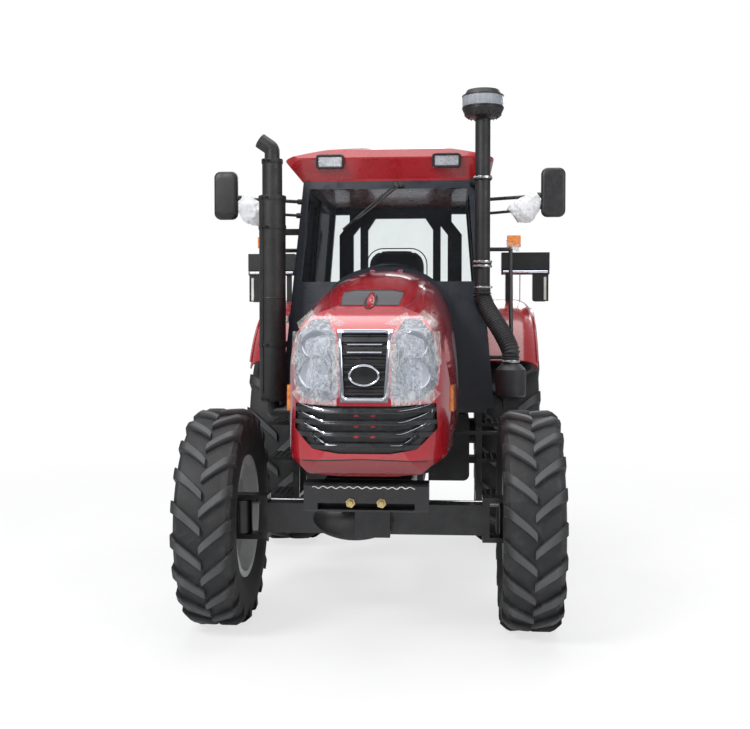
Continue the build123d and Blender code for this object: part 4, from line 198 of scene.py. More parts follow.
def plastic(name, colour, rough=0.5, grain=900.0, depth=0.12, dust=0.1):
    material, tree, shader = new_material(name)
    lighter = tuple(min(1.0, c * 1.5 + 0.012) for c in colour)
    base = mix(tree, grey_ramp(tree, noise(tree, 5.0, 4.0), 0.35, 0.7), colour, lighter)
    spots = grey_ramp(tree, noise(tree, 26.0, 6.0, 0.7), 0.5, 0.8, 0.0, dust)
    tree.links.new(mix(tree, spots, base, (0.3, 0.27, 0.23)), shader.inputs["Base Color"])
    wear = grey_ramp(tree, noise(tree, 30.0, 4.0), 0.3, 0.75, rough * 0.8, min(1.0, rough * 1.25))
    tree.links.new(wear, shader.inputs["Roughness"])
    bump(tree, shader, noise(tree, grain, 2.0), depth, 0.0008)
    return material


def tyre_rubber(name):
    """Black rubber with dried mud, paler where the mesh says that the tread stands out."""
    material, tree, shader = new_material(name)
    drift = grey_ramp(tree, noise(tree, 7.0, 6.0, 0.6), 0.35, 0.7)
    base = mix(tree, drift, (0.008, 0.008, 0.009), (0.020, 0.020, 0.020))
    mud = grey_ramp(tree, noise(tree, 11.0, 8.0, 0.7, 0.6), 0.50, 0.75, 0.0, 0.35)
    raised = tree.nodes.new("ShaderNodeAttribute")
    raised.attribute_name = "raised"
    # mud patches, and paler patches on the tread tops where the mesh's raised value says so
    mud_and_pale_tops = combine(tree, "MAXIMUM", mud, raised.outputs["Fac"])
    tree.links.new(mix(tree, mud_and_pale_tops, base, (0.105, 0.108, 0.112)), shader.inputs["Base Color"])
    tree.links.new(grey_ramp(tree, mud, 0.0, 0.6, 0.62, 0.95), shader.inputs["Roughness"])
    first = bump(tree, shader, noise(tree, 160.0, 5.0), 0.25, 0.0015)
    bump(tree, shader, noise(tree, 24.0, 5.0, 0.7), 0.35, 0.004, first)
    return material


def clear_glass(name, tint, film):
    """Window glass: mostly see-through, with a clear coat of reflection and faint dirt."""
    material, tree, shader = new_material(name)
    settle(shader, {"Base Color": (0.10, 0.11, 0.12, 1.0), "Roughness": 0.06})
    fresnel = tree.nodes.new("ShaderNodeFresnel")
    fresnel.inputs["IOR"].default_value = 1.45
    dirt = grey_ramp(tree, noise(tree, 6.0, 8.0, 0.7), 0.45, 0.8, 0.0, film)
    total = combine(tree, "ADD", fresnel.outputs["Fac"], dirt, clamp=True)
    join_shaders(tree, total, see_through(tree, tint), shader)
    return material


def film_lens(name, colour, shown, crinkle):
    """A lamp lens under crinkled clear film."""
    material, tree, shader = new_material(name)
    folds = tree.nodes.new("ShaderNodeTexVoronoi")
    folds.feature = "DISTANCE_TO_EDGE"
    folds.inputs["Scale"].default_value = 17.0
    warp = tree.nodes.new("ShaderNodeTexNoise")
    settle(warp, {"Scale": 9.0, "Detail": 5.0})
    tree.links.new(coordinates(tree, (1.0, 1.0, 0.55)), warp.inputs["Vector"])
    tree.links.new(warp.outputs["Color"], folds.inputs["Vector"])
    light = tuple(min(1.0, c * 1.35 + 0.12) for c in colour)
    creased = mix(tree, grey_ramp(tree, folds.outputs["Distance"], 0.0, 0.22), light, colour)
    tree.links.new(creased, shader.inputs["Base Color"])
    settle(shader, {"Roughness": 0.14, "Coat Weight": 1.0, "Coat Roughness": 0.05})
    fine = bump(tree, shader, noise(tree, 34.0, 5.0, 0.6, 1.2), 0.4 * crinkle, 0.008)
    bump(tree, shader, folds.outputs["Distance"], 0.65 * crinkle, 0.012, fine)
    cover = grey_ramp(tree, noise(tree, 8.0, 5.0), 0.3, 0.7, max(0.0, shown - 0.2), min(1.0, shown + 0.25))
    join_shaders(tree, cover, see_through(tree, (0.9, 0.92, 0.95)), shader)
    return material


def clear_film(name, low, high, colour=(0.80, 0.83, 0.87)):
    """Thin clear or milky film: see-through between its bright creases."""
    material, tree, shader = new_material(name)
    settle(shader, {"Base Color": (*colour, 1.0), "Roughness": 0.12})
    creases = noise(tree, 30.0, 6.0, 0.65, 1.6, (1.0, 1.0, 0.6))
    bump(tree, shader, creases, 0.8, 0.01)
    join_shaders(tree, grey_ramp(tree, creases, 0.40, 0.68, low, high), see_through(tree), shader)
    return material


def perforated(name, colour):
    """Pierced sheet: rows of small round dark holes."""
    material, tree, shader = new_material(name)
    dots = tree.nodes.new("ShaderNodeTexVoronoi")
    settle(dots, {"Scale": 95.0, "Randomness": 0.0})
    tree.links.new(coordinates(tree, 1.0), dots.inputs["Vector"])
    mask = grey_ramp(tree, dots.outputs["Distance"], 0.30, 0.36)
    tree.links.new(mix(tree, mask, (0.004, 0.004, 0.004), colour), shader.inputs["Base Color"])
    shader.inputs["Roughness"].default_value = 0.55
    bump(tree, shader, mask, 0.6, 0.002)
    return material


def woven(name, colour, light):
    """Cloth with threads both ways."""
    material, tree, shader = new_material(name)
    threads = []
    for direction in ("X", "Z"):
        wave = tree.nodes.new("ShaderNodeTexWave")
        wave.bands_direction = direction
        settle(wave, {"Scale": 260.0, "Distortion": 1.5})
        tree.links.new(coordinates(tree, 1.0), wave.inputs["Vector"])
        threads.append(wave.outputs["Fac"])
    both = combine(tree, "MULTIPLY", *threads)
    tree.links.new(mix(tree, both, colour, light), shader.inputs["Base Color"])
    settle(shader, {"Roughness": 0.9, "Sheen Weight": 0.4})
    bump(tree, shader, both, 0.3, 0.001)
    return material


RED = (0.43, 0.008, 0.018)
M = {
    # the hood's paint carries painted shade below z 0.968, on the lower bumper
    "red": paint("hood_red", RED, (0.34, 0.005, 0.012), 0.2, 0.9, 0.05, shade_below=0.968),
    "fender": paint("fender_red", (0.42, 0.009, 0.014), (0.34, 0.006, 0.010), 0.24, 0.8, 0.10),
    "roof": paint("roof_red", (0.34, 0.006, 0.012), (0.26, 0.004, 0.009), 0.3, 0.6, 0.08),
    "rim": paint("rim_white", (0.66, 0.67, 0.66), (0.56, 0.57, 0.56), 0.35, 0.3, 0.35, (0.36, 0.32, 0.26)),
    "black": paint("chassis_black", (0.009, 0.009, 0.010), (0.005, 0.005, 0.006), 0.40, 0.25, 0.16,
                   (0.09, 0.085, 0.075)),
    "cast": paint("cast_grey", (0.045, 0.046, 0.05), (0.028, 0.028, 0.03), 0.6, 0.05, 0.4, (0.2, 0.18, 0.15),
                  0.5),
    "cab": paint("cab_paint", (0.014, 0.018, 0.030), (0.008, 0.011, 0.018), 0.34, 0.3, 0.08, (0.1, 0.1, 0.1)),
    "exhaust": plastic("exhaust_black", (0.006, 0.006, 0.0065), 0.5, 300.0, 0.25, 0.04),
    "steel": metal("bright_steel", (0.55, 0.55, 0.56), 0.25),
    "chrome": metal("chrome_trim", (0.72, 0.75, 0.82), 0.08, stained=0.08),
    "grille": plastic("grille_black", (0.012, 0.012, 0.014), 0.38, 700.0, 0.1, 0.12),
    "mesh": perforated("vent_mesh", (0.075, 0.075, 0.082)),
    "lens": film_lens("lamp_lens", (0.30, 0.32, 0.36), 0.42, 0.5),
    "work_lens": film_lens("work_lamp_lens", (0.42, 0.44, 0.46), 0.75, 0.4),
    "amber": film_lens("amber_lens", (0.75, 0.20, 0.012), 0.95, 0.3),
    "glass": clear_glass("window_glass", (0.97, 0.985, 0.985), 0.025),
    "trim": plastic("trim_black", (0.008, 0.008, 0.009), 0.45, dust=0.04),
    "seat": woven("seat_cloth", (0.02, 0.021, 0.026), (0.06, 0.062, 0.07)),
    "hose": plastic("hose_rubber", (0.008, 0.008, 0.009), 0.55, 400.0, 0.2, 0.08),
    "tyre": tyre_rubber("tyre_rubber"),
    "gloss": plastic("gloss_black", (0.005, 0.005, 0.006), 0.30, 300.0, 0.03, 0.03),
    "film": clear_film("wrapping_film", 0.10, 0.55),
    "tape": clear_film("adhesive_tape", 0.14, 0.5, (0.80, 0.79, 0.75)),
    "bowl": clear_film("bowl_plastic", 0.75, 0.95, (0.36, 0.38, 0.42)),
    "bag": clear_film("packing_bag", 0.72, 0.95, (0.86, 0.87, 0.88)),
    "pale": plastic("pale_plastic", (0.62, 0.62, 0.58), 0.35, 500.0, 0.05, 0.15),
    "brass": metal("plated_bolt", (0.62, 0.47, 0.22), 0.3),
    "mirror": metal("mirror_glass", (0.78, 0.80, 0.82), 0.03, stained=0.05),
    "red_lens": film_lens("red_lens", (0.45, 0.012, 0.012), 0.95, 0.3),
}
NODES_BY_FINISH = {
    "red": "hood_shell", "roof": "cab_roof", "fender": "rear_fenders", "mesh": "hood_vents",
    "lens": "headlamps",
    "chrome": "grille_surround", "grille": "grilles", "work_lens": "roof_lamps",
    "amber": "side_lamps marker_lamps",
    "trim": "rear_lamps mirrors precleaner air_cleaner dashboard steering_wheel side_tanks",
    "exhaust": "exhaust intake_stack", "hose": "intake_hose", "seat": "operator_seat",
    "steel": "steering_rod",
    "cab": "cab_frame cab_body door_left door_right", "glass": "cab_glass door_left_glass door_right_glass",
    "cast": "engine_block gearbox_housing rear_axle_housing",
}
FINISH = {node: key for key, nodes in NODES_BY_FINISH.items() for node in nodes.split()}
for node, piece in NODES.items():
    usual = "tyre" if node.startswith("tyre") else "rim" if node.startswith("rim") else "black"
    piece.data.materials.clear()
    piece.data.materials.append(M[FINISH.get(node, usual)])

# Shape helpers
def cast(nodes, origin, direction):
    """The first place where a line meets these CAD nodes, and the surface's direction there."""
    found = None
    for node in nodes:
        if node not in TREES:
            piece = NODES[node]
            corners = [piece.matrix_world @ v.co for v in piece.data.vertices]
            TREES[node] = BVHTree.FromPolygons(corners, [tuple(f.vertices) for f in piece.data.polygons])
        place, normal, _, distance = TREES[node].ray_cast(Vector(origin), Vector(direction))
        if place is not None and (found is None or distance < found[2]):
            found = (place, normal, distance)
    return found


# Where rays go beside a place, to bridge the gaps between the hood's panels
BESIDE = [(0, 0)] + [(reach * a, reach * b) for reach in (0.007, 0.014) for a,
                     b in ((1, 0), (-1, 0), (0, 1), (0, -1))]
PANEL_STEP = 0.045


def face_y(x, z):
    """How far forward the hood reaches at a place seen from the front."""
    depths = []
    for across, up in BESIDE:
        found = cast(HOOD, (x + across, -3.0, z + up), (0.0, 1.0, 0.0))
        depths.append(found[0].y if found else math.inf)
    nearest = min(depths)
    if nearest == math.inf:
        return HOOD_FRONT_Y
    return nearest if depths[0] > nearest + PANEL_STEP else depths[0]


def crest_z(x, y):
    """How high the hood is at a place seen from above."""
    found = cast(HOOD, (x, y, 3.0), (0.0, 0.0, -1.0))
    return found[0].z if found else 1.7


def turns(count, shift=0.0):
    """Angles evenly spaced round a circle."""
    return [2 * math.pi * (k + shift) / count for k in range(count)]


def walk(corners, steps, first=0):
    """Points evenly spaced along a closed outline."""
    return [(ax + (bx - ax) * k / steps, ay + (by - ay) * k / steps)
            for (ax, ay), (bx, by) in zip(corners, corners[1:] + corners[:1]) for k in range(first, steps)]


def across_hood(half, z, lift):
    """A level line across the hood's face, this far in front of it."""
    return [(x, face_y(x, z) - lift, z) for x in (half * (i / 8 - 1) for i in range(17))]


def piece_from(name, bm, finish, body, angle=0.7):
    """Makes an object of a mesh; edges sharper than the angle stay sharp."""
    mesh = bpy.data.meshes.new(name)
    bmesh.ops.recalc_face_normals(bm, faces=bm.faces)
    for face in bm.faces:
        face.smooth = True
    bm.to_mesh(mesh)
    bm.free()
    mesh.set_sharp_from_angle(angle=angle)
    piece = bpy.data.objects.new(name, mesh)
    SCENE.collection.objects.link(piece)
    mesh.materials.append(M[finish])
    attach(piece, body)
    return piece


def add_loops(bm, loops, closed=False):
    """Faces between rings of points, with a cap at both ends unless the last ring meets the first."""
    rings = [[bm.verts.new(point) for point in loop] for loop in loops]
    pairs = list(zip(rings, rings[1:])) + ([(rings[-1], rings[0])] if closed else [])
    for first, second in pairs:
        count = len(first)
        for i in range(count):
            bm.faces.new((first[i], first[(i + 1) % count], second[(i + 1) % count], second[i]))
    if not closed:
        bm.faces.new(list(reversed(rings[0])))
        bm.faces.new(rings[-1])


def add_tube(bm, points, radius, sides=12, closed=False, flat=1.0):
    """A round or flattened bar along a line of points."""
    points = [Vector(p) for p in points]
    count = len(points)
    loops = []
    across = None
    for i, point in enumerate(points):
        ahead = points[(i + 1) % count] if closed or i + 1 < count else point
        behind = points[i - 1] if closed or i > 0 else point
        along = (ahead - behind).normalized()
        if across is None:
            across = along.orthogonal().normalized()
        across = (across - along * across.dot(along)).normalized()
        other = along.cross(across)
        size = radius[i] if isinstance(radius, (list, tuple)) else radius
        loops.append([
            point + across * size * math.cos(a) + other * size * flat * math.sin(a)
            for a in turns(sides)
        ])
    add_loops(bm, loops, closed)


def add_turned(bm, profile, centre, axis, sides=48):
    """A turned shape from (radius, distance along the axis) points."""
    axis = Vector(axis).normalized()
    across = axis.orthogonal().normalized()
    other = axis.cross(across)
    loops = []
    for radius, along in profile:
        radius = max(radius, 0.0004)
        loops.append([
            Vector(centre) + axis * along + (across * math.cos(a) + other * math.sin(a)) * radius
            for a in turns(sides)
        ])
    add_loops(bm, loops)


def add_plate(bm, outline, depth, bevel=0.003):
    """A bevelled plate: its outline as points, and its thickness as a vector."""
    face = bm.faces.new([bm.verts.new(point) for point in outline])
    grown = bmesh.ops.extrude_face_region(bm, geom=[face])["geom"]
    verts = [v for v in grown if isinstance(v, bmesh.types.BMVert)]
    bmesh.ops.translate(bm, verts=verts, vec=Vector(depth))
    if bevel:
        edges = dict.fromkeys(e for v in list(face.verts) + verts for e in v.link_edges)
        bmesh.ops.bevel(bm, geom=list(edges), offset=bevel, segments=2, affect="EDGES", clamp_overlap=True)


def add_block(bm, low, high, bevel=0.004):
    (x0, y0, z0), (x1, y1, z1) = low, high
    add_plate(bm, [(x0, y0, z0), (x1, y0, z0), (x1, y1, z0), (x0, y1, z0)], (0.0, 0.0, z1 - z0), bevel)


def bow(points, steps):
    """A smooth line through the points."""
    points = [Vector(p) for p in points]
    padded = [points[0] * 2 - points[1]] + points + [points[-1] * 2 - points[-2]]
    line = []
    for i in range(1, len(padded) - 2):
        p0, p1, p2, p3 = padded[i - 1:i + 3]
        for k in range(steps):
            t = k / steps
            line.append(0.5 * ((2 * p1) + (p2 - p0) * t + (2 * p0 - 5 * p1 + 4 * p2 - p3) * t * t
                               + (3 * p1 - p0 - 3 * p2 + p3) * t ** 3))
    return line + [points[-1]]


def add_beside(bm, side, across, low, high, bevel):
    """A block on one side of the tractor, from its reach across and its low and high (y, z)."""
    x0, x1 = sorted(side * x for x in across)
    add_block(bm, (x0, *low), (x1, *high), bevel)


def rounded_outline(half, low, high, corner, make):
    line = []
    for cx, cz, start in ((half - corner, high - corner, 0), (-half + corner, high - corner, 90),
                          (-half + corner, low + corner, 180), (half - corner, low + corner, 270)):
        for k in range(7):
            turn = math.radians(start + 15 * k)
            line.append(make(cx + corner * math.cos(turn), cz + corner * math.sin(turn)))
    return line


def shake(point, scale, amount, seed):
    """A crumpling offset. Blender's noise vector has other values in each run, so the bags' creases differ too."""
    return turbulence.noise_vector(Vector(point) * scale + Vector((seed, seed * 0.7, -seed))) * amount


# Tyres with their lugs, on the CAD tyres' sizes
def tyre_piece(node, body, x, y, z, width, radius, seat, bead, lug, lugs):
    bm = bmesh.new()
    half = width / 2
    tread = radius - lug
    section = [
        (bead, seat + 0.002), (bead + 0.003, seat + 0.026), (bead + 0.009, seat + 0.034),
        (bead + 0.008, seat + 0.042),
        (half * 0.965, seat + 0.35 * (tread - seat)), (half, seat + 0.58 * (tread - seat)),
        (half * 0.99, seat + 0.74 * (tread - seat)), (half * 0.93, tread - 0.024),
        (half * 0.80, tread - 0.006),
        (half * 0.40, tread + 0.001), (0.0, tread + 0.002),
    ]
    full = section + [(-a, r) for a, r in reversed(section[:-1])]
    rings = [[bm.verts.new((x + a, y - r * math.sin(turn), z + r * math.cos(turn))) for a, r in full]
             for turn in turns(96)]
    for first, second in zip(rings, rings[1:] + rings[:1]):
        for k in range(len(full) - 1):
            bm.faces.new((first[k], first[k + 1], second[k + 1], second[k]))
    reach = half + 0.002
    stations = [0.0, 0.12, 0.3, 0.5, 0.68, 0.82, 0.93, 1.0]
    for row in (1, -1):
        for index in range(lugs):
            middle = 2 * math.pi * (index + (0.5 if row < 0 else 0.0)) / lugs
            loops = []
            for t in stations:
                arc = reach * (-0.5 + 0.85 * (t ** 0.9))
                drop = 0.0 if t < 0.68 else (t - 0.68) / 0.32
                top = radius - 0.002 - lug * 1.1 * drop ** 1.6
                foot = tread - 0.012 - (0.09 * width / 0.307) * drop ** 1.5
                wide = lug * (0.80 + 0.20 * t)
                ridge = wide * 0.80
                if t == 0.0:
                    top -= 0.004
                across = row * half * 0.999 if t == 1.0 else row * (-0.004 + t * reach * 0.995)
                ring = []
                for offset, r in (
                    (-wide * 1.2, foot), (-wide, tread + lug * 0.2), (-ridge, top - lug * 0.09),
                    (-ridge * 0.86, top),
                    (ridge * 0.86, top), (ridge, top - lug * 0.09), (wide, tread + lug * 0.2),
                    (wide * 1.2, foot),
                ):
                    r = max(r, foot)
                    if drop > 0.5:
                        r = min(r, top)
                    turn = middle - (arc + offset) / radius
                    ring.append((x + across, y - r * math.sin(turn), z + r * math.cos(turn)))
                loops.append(ring)
            add_loops(bm, loops)
    piece = piece_from(node + "_tread", bm, "tyre", body, 0.6)
    raised = piece.data.attributes.new("raised", "FLOAT", "POINT")
    for vert in piece.data.vertices:
        reach_out = math.hypot(vert.co.y - y, vert.co.z - z) - tread
        share = min(1.0, max(0.0, reach_out / lug - 0.45) * 2.5)
        patch = 0.5 + 0.5 * turbulence.noise(vert.co * 9.0)
        raised.data[vert.index].value = share * (0.25 + 0.6 * patch)
    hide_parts(node)


def add_wheel_nuts(bm, node, side, centre, circle, size):
    """Eight studs with their nuts, set on the rim's disc."""
    for turn in turns(8, 0.5):
        y, z = centre[1] + circle * math.cos(turn), centre[2] + circle * math.sin(turn)
        found = cast([node], (side * 3.0, y, z), (-side, 0, 0))
        if found:
            add_turned(bm, [(size * 1.5, -0.002), (size * 1.5, 0.003), (size, 0.004), (size, 0.016),
                            (size * 0.8, 0.019), (size * 0.45, 0.019), (size * 0.45, 0.028), (0.001, 0.029)],
                       found[0], (side, 0, 0), 6)


def add_hub_cap(bm, node, side, centre):
    """A turned cap with six small bolts in the middle of the rim."""
    middle = cast([node], (side * 3.0, *centre[1:]), (-side, 0, 0))[0]
    add_turned(bm, [(0.062, -0.01), (0.062, 0.004), (0.056, 0.012), (0.03, 0.017), (0.001, 0.018)], middle,
               (side, 0, 0), 40)
    for turn in turns(6):
        spot = middle + Vector((0, 0.045 * math.cos(turn), 0.045 * math.sin(turn)))
        add_turned(bm, [(0.007, 0.0), (0.007, 0.019), (0.005, 0.021), (0.001, 0.021)], spot, (side, 0, 0), 6)


for side, word in SIDES:
    front = (side * 0.82, FRONT_AXLE_Y, 0.582)
    rear = (side * 0.80, REAR_AXLE_Y, REAR_AXLE_Z)
    tyre_piece(f"tyre_front_{word}", f"wheel_front_{word}", *front, 0.307, 0.582, 0.305, 0.119, 0.032, 20)
    tyre_piece(f"tyre_rear_{word}", f"wheel_rear_{word}", *rear, 0.430, 0.832, 0.432, 0.182, 0.038, 20)
    for place, centre, circle, size in (("front", front, 0.160, 0.013), ("rear", rear, 0.185, 0.016)):
        bm = bmesh.new()
        add_wheel_nuts(bm, f"rim_{place}_{word}", side, centre, circle, size)
        piece_from(f"wheel_nuts_{place}_{word}", bm, "steel", f"wheel_{place}_{word}", 0.4)
        bm = bmesh.new()
        add_hub_cap(bm, f"rim_{place}_{word}", side, centre)
        piece_from(f"hub_cap_{place}_{word}", bm, "rim", f"wheel_{place}_{word}", 0.5)

# Upper grille: slats, bright bars and a bare oval plate with a bright rim
bm = bmesh.new()
for k in range(9):
    z = 1.285 + 0.034 * k
    half = 0.088 + (z - 1.262) * 0.055
    add_tube(bm, across_hood(half, z, 0.002), 0.0075, 8)
piece_from("upper_slats", bm, "gloss", "hood")
bm = bmesh.new()
for z in (1.517, 1.480):
    half = 0.078 + (z - 1.262) * 0.02
    add_tube(bm, across_hood(half, z, 0.010), 0.0038, 8)
ring = [(0.069 * math.cos(a), BADGE_Z + 0.047 * math.sin(a)) for a in turns(56)]
plate_y = min(face_y(x, z) for x, z in ring) - 0.012
add_tube(bm, [(x, plate_y, z) for x, z in ring], 0.0055, 10, True)
surround = [(-0.106, 1.582), (0.106, 1.582), (0.118, 1.570), (0.100, 1.272), (0.088, 1.260), (-0.088, 1.260),
            (-0.100, 1.272), (-0.118, 1.570)]
add_tube(bm, [(x, face_y(x, z) - 0.003, z) for x, z in walk(surround, 10)], 0.008, 10, True)
piece_from("grille_brightwork", bm, "chrome", "hood", 1.2)
bm = bmesh.new()
add_turned(bm, [(0.001, 0.0), (0.040, 0.001), (0.0625, 0.004), (0.0645, 0.012), (0.001, 0.014)], (0, 0, 0),
           (0, 1, 0), 64)
for vert in bm.verts:
    vert.co = Vector((vert.co.x * 1.04, plate_y - 0.001 + vert.co.y, BADGE_Z + vert.co.z * 0.70))
piece_from("oval_plate", bm, "gloss", "hood")

# Lower grille: four bowed slats with painted highlights on their ends, and six small red inserts
bm = bmesh.new()
bright = bmesh.new()
for level, rise in ((1.200, 0.030), (1.145, 0.052), (1.090, 0.055), (1.036, 0.055)):
    reach = 0.325 if level > 1.1 else 0.318 - (1.1 - level)
    line = []
    for i in range(41):
        x = reach * (i / 20 - 1)
        t = max(0.0, (abs(x) - 0.17) / (reach - 0.17))
        z = level + rise * t ** 1.3
        line.append(Vector((x, face_y(x, z) - 0.004, z)))
    for lift, size in ((0.0, 0.013), (0.008, 0.009)):
        add_tube(bm, [p + Vector((0, 0.002, lift)) for p in line], size, 8, flat=0.8)
    # painted highlight: bright strips on the slats' ends, thick on the left and thin on the right
    for chosen, full in ((line[1:11], 0.0040), (line[30:40], 0.0012)):
        add_tube(bright, [p + Vector((0, -0.011, 0.006)) for p in chosen],
                 [0.0008 + full * math.sin(math.pi * k / 9) for k in range(10)], 8)
piece_from("lower_slats", bm, "gloss", "hood")
piece_from("lower_slat_highlights", bright, "chrome", "hood")
bm = bmesh.new()
for z in (1.182, 1.130, 1.082):
    for x in (-0.036, 0.042):
        y = face_y(x, z) - 0.016
        add_block(bm, (x - 0.012, y, z - 0.005), (x + 0.012, y + 0.02, z + 0.005), 0.002)
piece_from("red_inserts", bm, "red", "hood")

# Latch scoop on the vent mesh, panel frame and seams of the hood
bm = bmesh.new()
loops = []
for i in range(15):
    t = i / 14
    y = -1.505 - 0.245 * t
    half = 0.0165 + 0.006 * math.sin(math.pi * t)
    rise = 0.012 + 0.020 * math.sin(math.pi * min(1.0, t * 1.15 + 0.1))
    base = crest_z(0.0, y)
    loops.append([Vector((half * math.cos(a), y, base - 0.004 + max(0.0, math.sin(a)) * (rise + 0.004)))
                  for a in (math.pi * k / 12 for k in range(13))])
add_loops(bm, loops)
piece_from("hood_latch", bm, "red", "hood", 1.0)
bm = bmesh.new()
oval = [(0.030 * math.cos(a), -1.635 + 0.145 * math.sin(a)) for a in turns(48)]
add_tube(bm, [(x, y, crest_z(x, y) + 0.001) for x, y in oval], 0.0042, 8, True)
edge = walk([(-0.146, -1.720), (0.146, -1.720), (0.160, -1.435), (-0.160, -1.435)], 12)
add_tube(bm, [(x, y, crest_z(x, y) + 0.0005) for x, y in edge], 0.0035, 8, True)
for side in (1, -1):
    seam = bow([(side * x, y, 0) for x, y in
                ((0.262, -0.47), (0.258, -0.80), (0.248, -1.15), (0.232, -1.45), (0.205, -1.66),
                 (0.165, -1.80))], 10)
    add_tube(bm, [(p.x, p.y, crest_z(p.x, p.y) - 0.0006) for p in seam], 0.0024, 6)
piece_from("hood_seams", bm, "trim", "hood")
bm = bmesh.new()
seam = [(0.30 * (i / 20 - 1), 0.972 - 0.010 * abs(i / 20 - 1)) for i in range(41)]
add_tube(bm, [(x, face_y(x, z) - 0.0005, z) for x, z in seam], 0.0026, 6)
piece_from("bumper_seam", bm, "trim", "hood")

# Headlamps: reflectors and bulbs behind the lens, film stretched over them and its tape
def relax(rows, passes):
    """Evens out how far forward a laid grid reaches, as a stiff film bridges the steps under it."""
    for _ in range(passes):
        depth = [[v.co.y for v in row] for row in rows]
        for j, row in enumerate(rows):
            for i, vert in enumerate(row):
                near = [depth[b][a] for b in range(max(0, j - 1), min(len(rows), j + 2))
                        for a in range(max(0, i - 1), min(len(row), i + 2))]
                vert.co.y = sum(near) / len(near)


def add_grid(bm, rows):
    for a, b in zip(rows, rows[1:]):
        for i in range(len(a) - 1):
            bm.faces.new((a[i], a[i + 1], b[i + 1], b[i]))


def add_film(bm, inside, low, high, steps, seed):
    """A crumpled sheet laid over the hood's face, within the outline that inside() gives."""
    (x0, z0), (x1, z1) = low, high
    rows = []
    for j in range(steps + 1):
        row = []
        for i in range(steps + 1):
            x, z = inside(x0 + (x1 - x0) * i / steps, z0 + (z1 - z0) * j / steps)
            fold = turbulence.noise(Vector((x * 21 + seed, z * 13, seed))) + 0.6 * turbulence.noise(
                Vector((x * 55, z * 37 + seed, seed)))
            row.append(bm.verts.new((x, face_y(x, z) - 0.003 - 0.013 * (0.5 + 0.5 * fold), z)))
        rows.append(row)
    relax(rows, 2)
    add_grid(bm, rows)


# Flat sizes, width and height. The film is the lens outline with 16 mm all round. The tape's size is no such fact:
# it was set from the area of the strips' own mesh. The area check proves nothing for the tape.
FILM_EDGE = 0.016

# Tape strips, each as its middle's x and z, its length and width seen from the front, and its turn
TAPE_STRIPS = ((0.150, 1.630, 0.12, 0.035, 0.5), (0.300, 1.640, 0.10, 0.04, -0.7),
               (0.345, 1.50, 0.03, 0.16, 0.05),
               (0.135, 1.42, 0.03, 0.20, 0.0), (0.200, 1.245, 0.14, 0.03, 0.05),
               (0.318, 1.275, 0.07, 0.05, 0.8))
LAMP = [(0.124, 1.275), (0.170, 1.245), (0.300, 1.262), (0.342, 1.330), (0.348, 1.450), (0.322, 1.570),
        (0.258, 1.640),
        (0.190, 1.640), (0.142, 1.560)]


def lamp_span(z):
    """The lens's inner and outer edge at a height."""
    crossings = []
    for (xa, za), (xb, zb) in zip(LAMP, LAMP[1:] + LAMP[:1]):
        if (za - z) * (zb - z) <= 0 and za != zb:
            crossings.append(xa + (xb - xa) * (z - za) / (zb - za))
    return (min(crossings), max(crossings)) if crossings else (0.2, 0.25)


for side, word in SIDES:
    bm = bmesh.new()
    for x, z, size in ((0.232, 1.515, 0.062), (0.240, 1.375, 0.066)):
        y = face_y(side * x, z)
        add_turned(bm, [(size + 0.006, 0.012), (size, 0.010), (size * 0.97, 0.016), (size * 0.72, 0.034),
                        (size * 0.30, 0.048), (0.001, 0.050)], (side * x, y, z), (side * 0.12, 1, 0.05), 40)
    piece_from(f"lamp_reflectors_{word}", bm, "chrome", "hood")
    bm = bmesh.new()
    for x, z in ((0.232, 1.515), (0.240, 1.375)):
        y = face_y(side * x, z)
        add_turned(bm, [(0.001, 0.0), (0.010, 0.003), (0.012, 0.012), (0.010, 0.034), (0.001, 0.036)],
                   (side * x, y + 0.010, z), (0, 1, 0), 20)
    piece_from(f"lamp_bulbs_{word}", bm, "work_lens", "hood")
    bm = bmesh.new()

    def inside(x, z):
        """Draws a place of the film's square grid in to the lens outline."""
        share = (abs(x) - 0.10) / 0.27
        inner, outer = lamp_span(min(max(z, 1.262), 1.632))
        ragged = 0.010 * turbulence.noise(Vector((z * 19, side, 0.3)))
        return side * (inner - FILM_EDGE + (outer - inner + FILM_EDGE * 1.6) * share + ragged), z

    add_film(bm, inside, (0.10, 1.235), (0.37, 1.655), 44, 3.1 + side)
    film = piece_from(f"lamp_film_{word}", bm, "film", "hood", 3.0)
    bm = bmesh.new()
    for k, (x, z, long, wide, turn) in enumerate(TAPE_STRIPS):
        grid = []
        for j in range(7):
            row = []
            for i in range(7):
                u, v = (i / 6 - 0.5) * long, (j / 6 - 0.5) * wide
                px = x + u * math.cos(turn) - v * math.sin(turn)
                pz = z + u * math.sin(turn) + v * math.cos(turn)
                lift = 0.004 + 0.004 * abs(turbulence.noise(Vector((px * 31 + k, pz * 29, side))))
                row.append(bm.verts.new((side * px, face_y(side * px, pz) - lift - 0.006, pz)))
            grid.append(row)
        relax(grid, 6)
        add_grid(bm, grid)
    tape = piece_from(f"lamp_tape_{word}", bm, "tape", "hood", 3.0)

# Intake: ribbed hose, clamps, bowl rings; exhaust bands
CUFF = 0.035
HOSE = [(*INTAKE, 1.869), (*INTAKE, 1.830), (0.600, -0.441, 1.785), (0.632, -0.477, 1.712),
        (0.682, -0.527, 1.628),
        (0.729, -0.575, 1.545), (0.761, -0.611, 1.470), (*CLEANER, 1.430), (*CLEANER, 1.386)]
line = bow(HOSE, 30)
bm = bmesh.new()
lengths = [0.0]
for a, b in zip(line, line[1:]):
    lengths.append(lengths[-1] + (b - a).length)
sizes = []
for s in lengths:
    plain = s < CUFF or s > lengths[-1] - CUFF
    sizes.append(0.050 if plain else 0.0525 + 0.0045 * math.cos(2 * math.pi * s / 0.0165))
add_tube(bm, line, sizes, 32)
hose = piece_from("ribbed_hose", bm, "hose", "root", 3.0)
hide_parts("intake_hose")


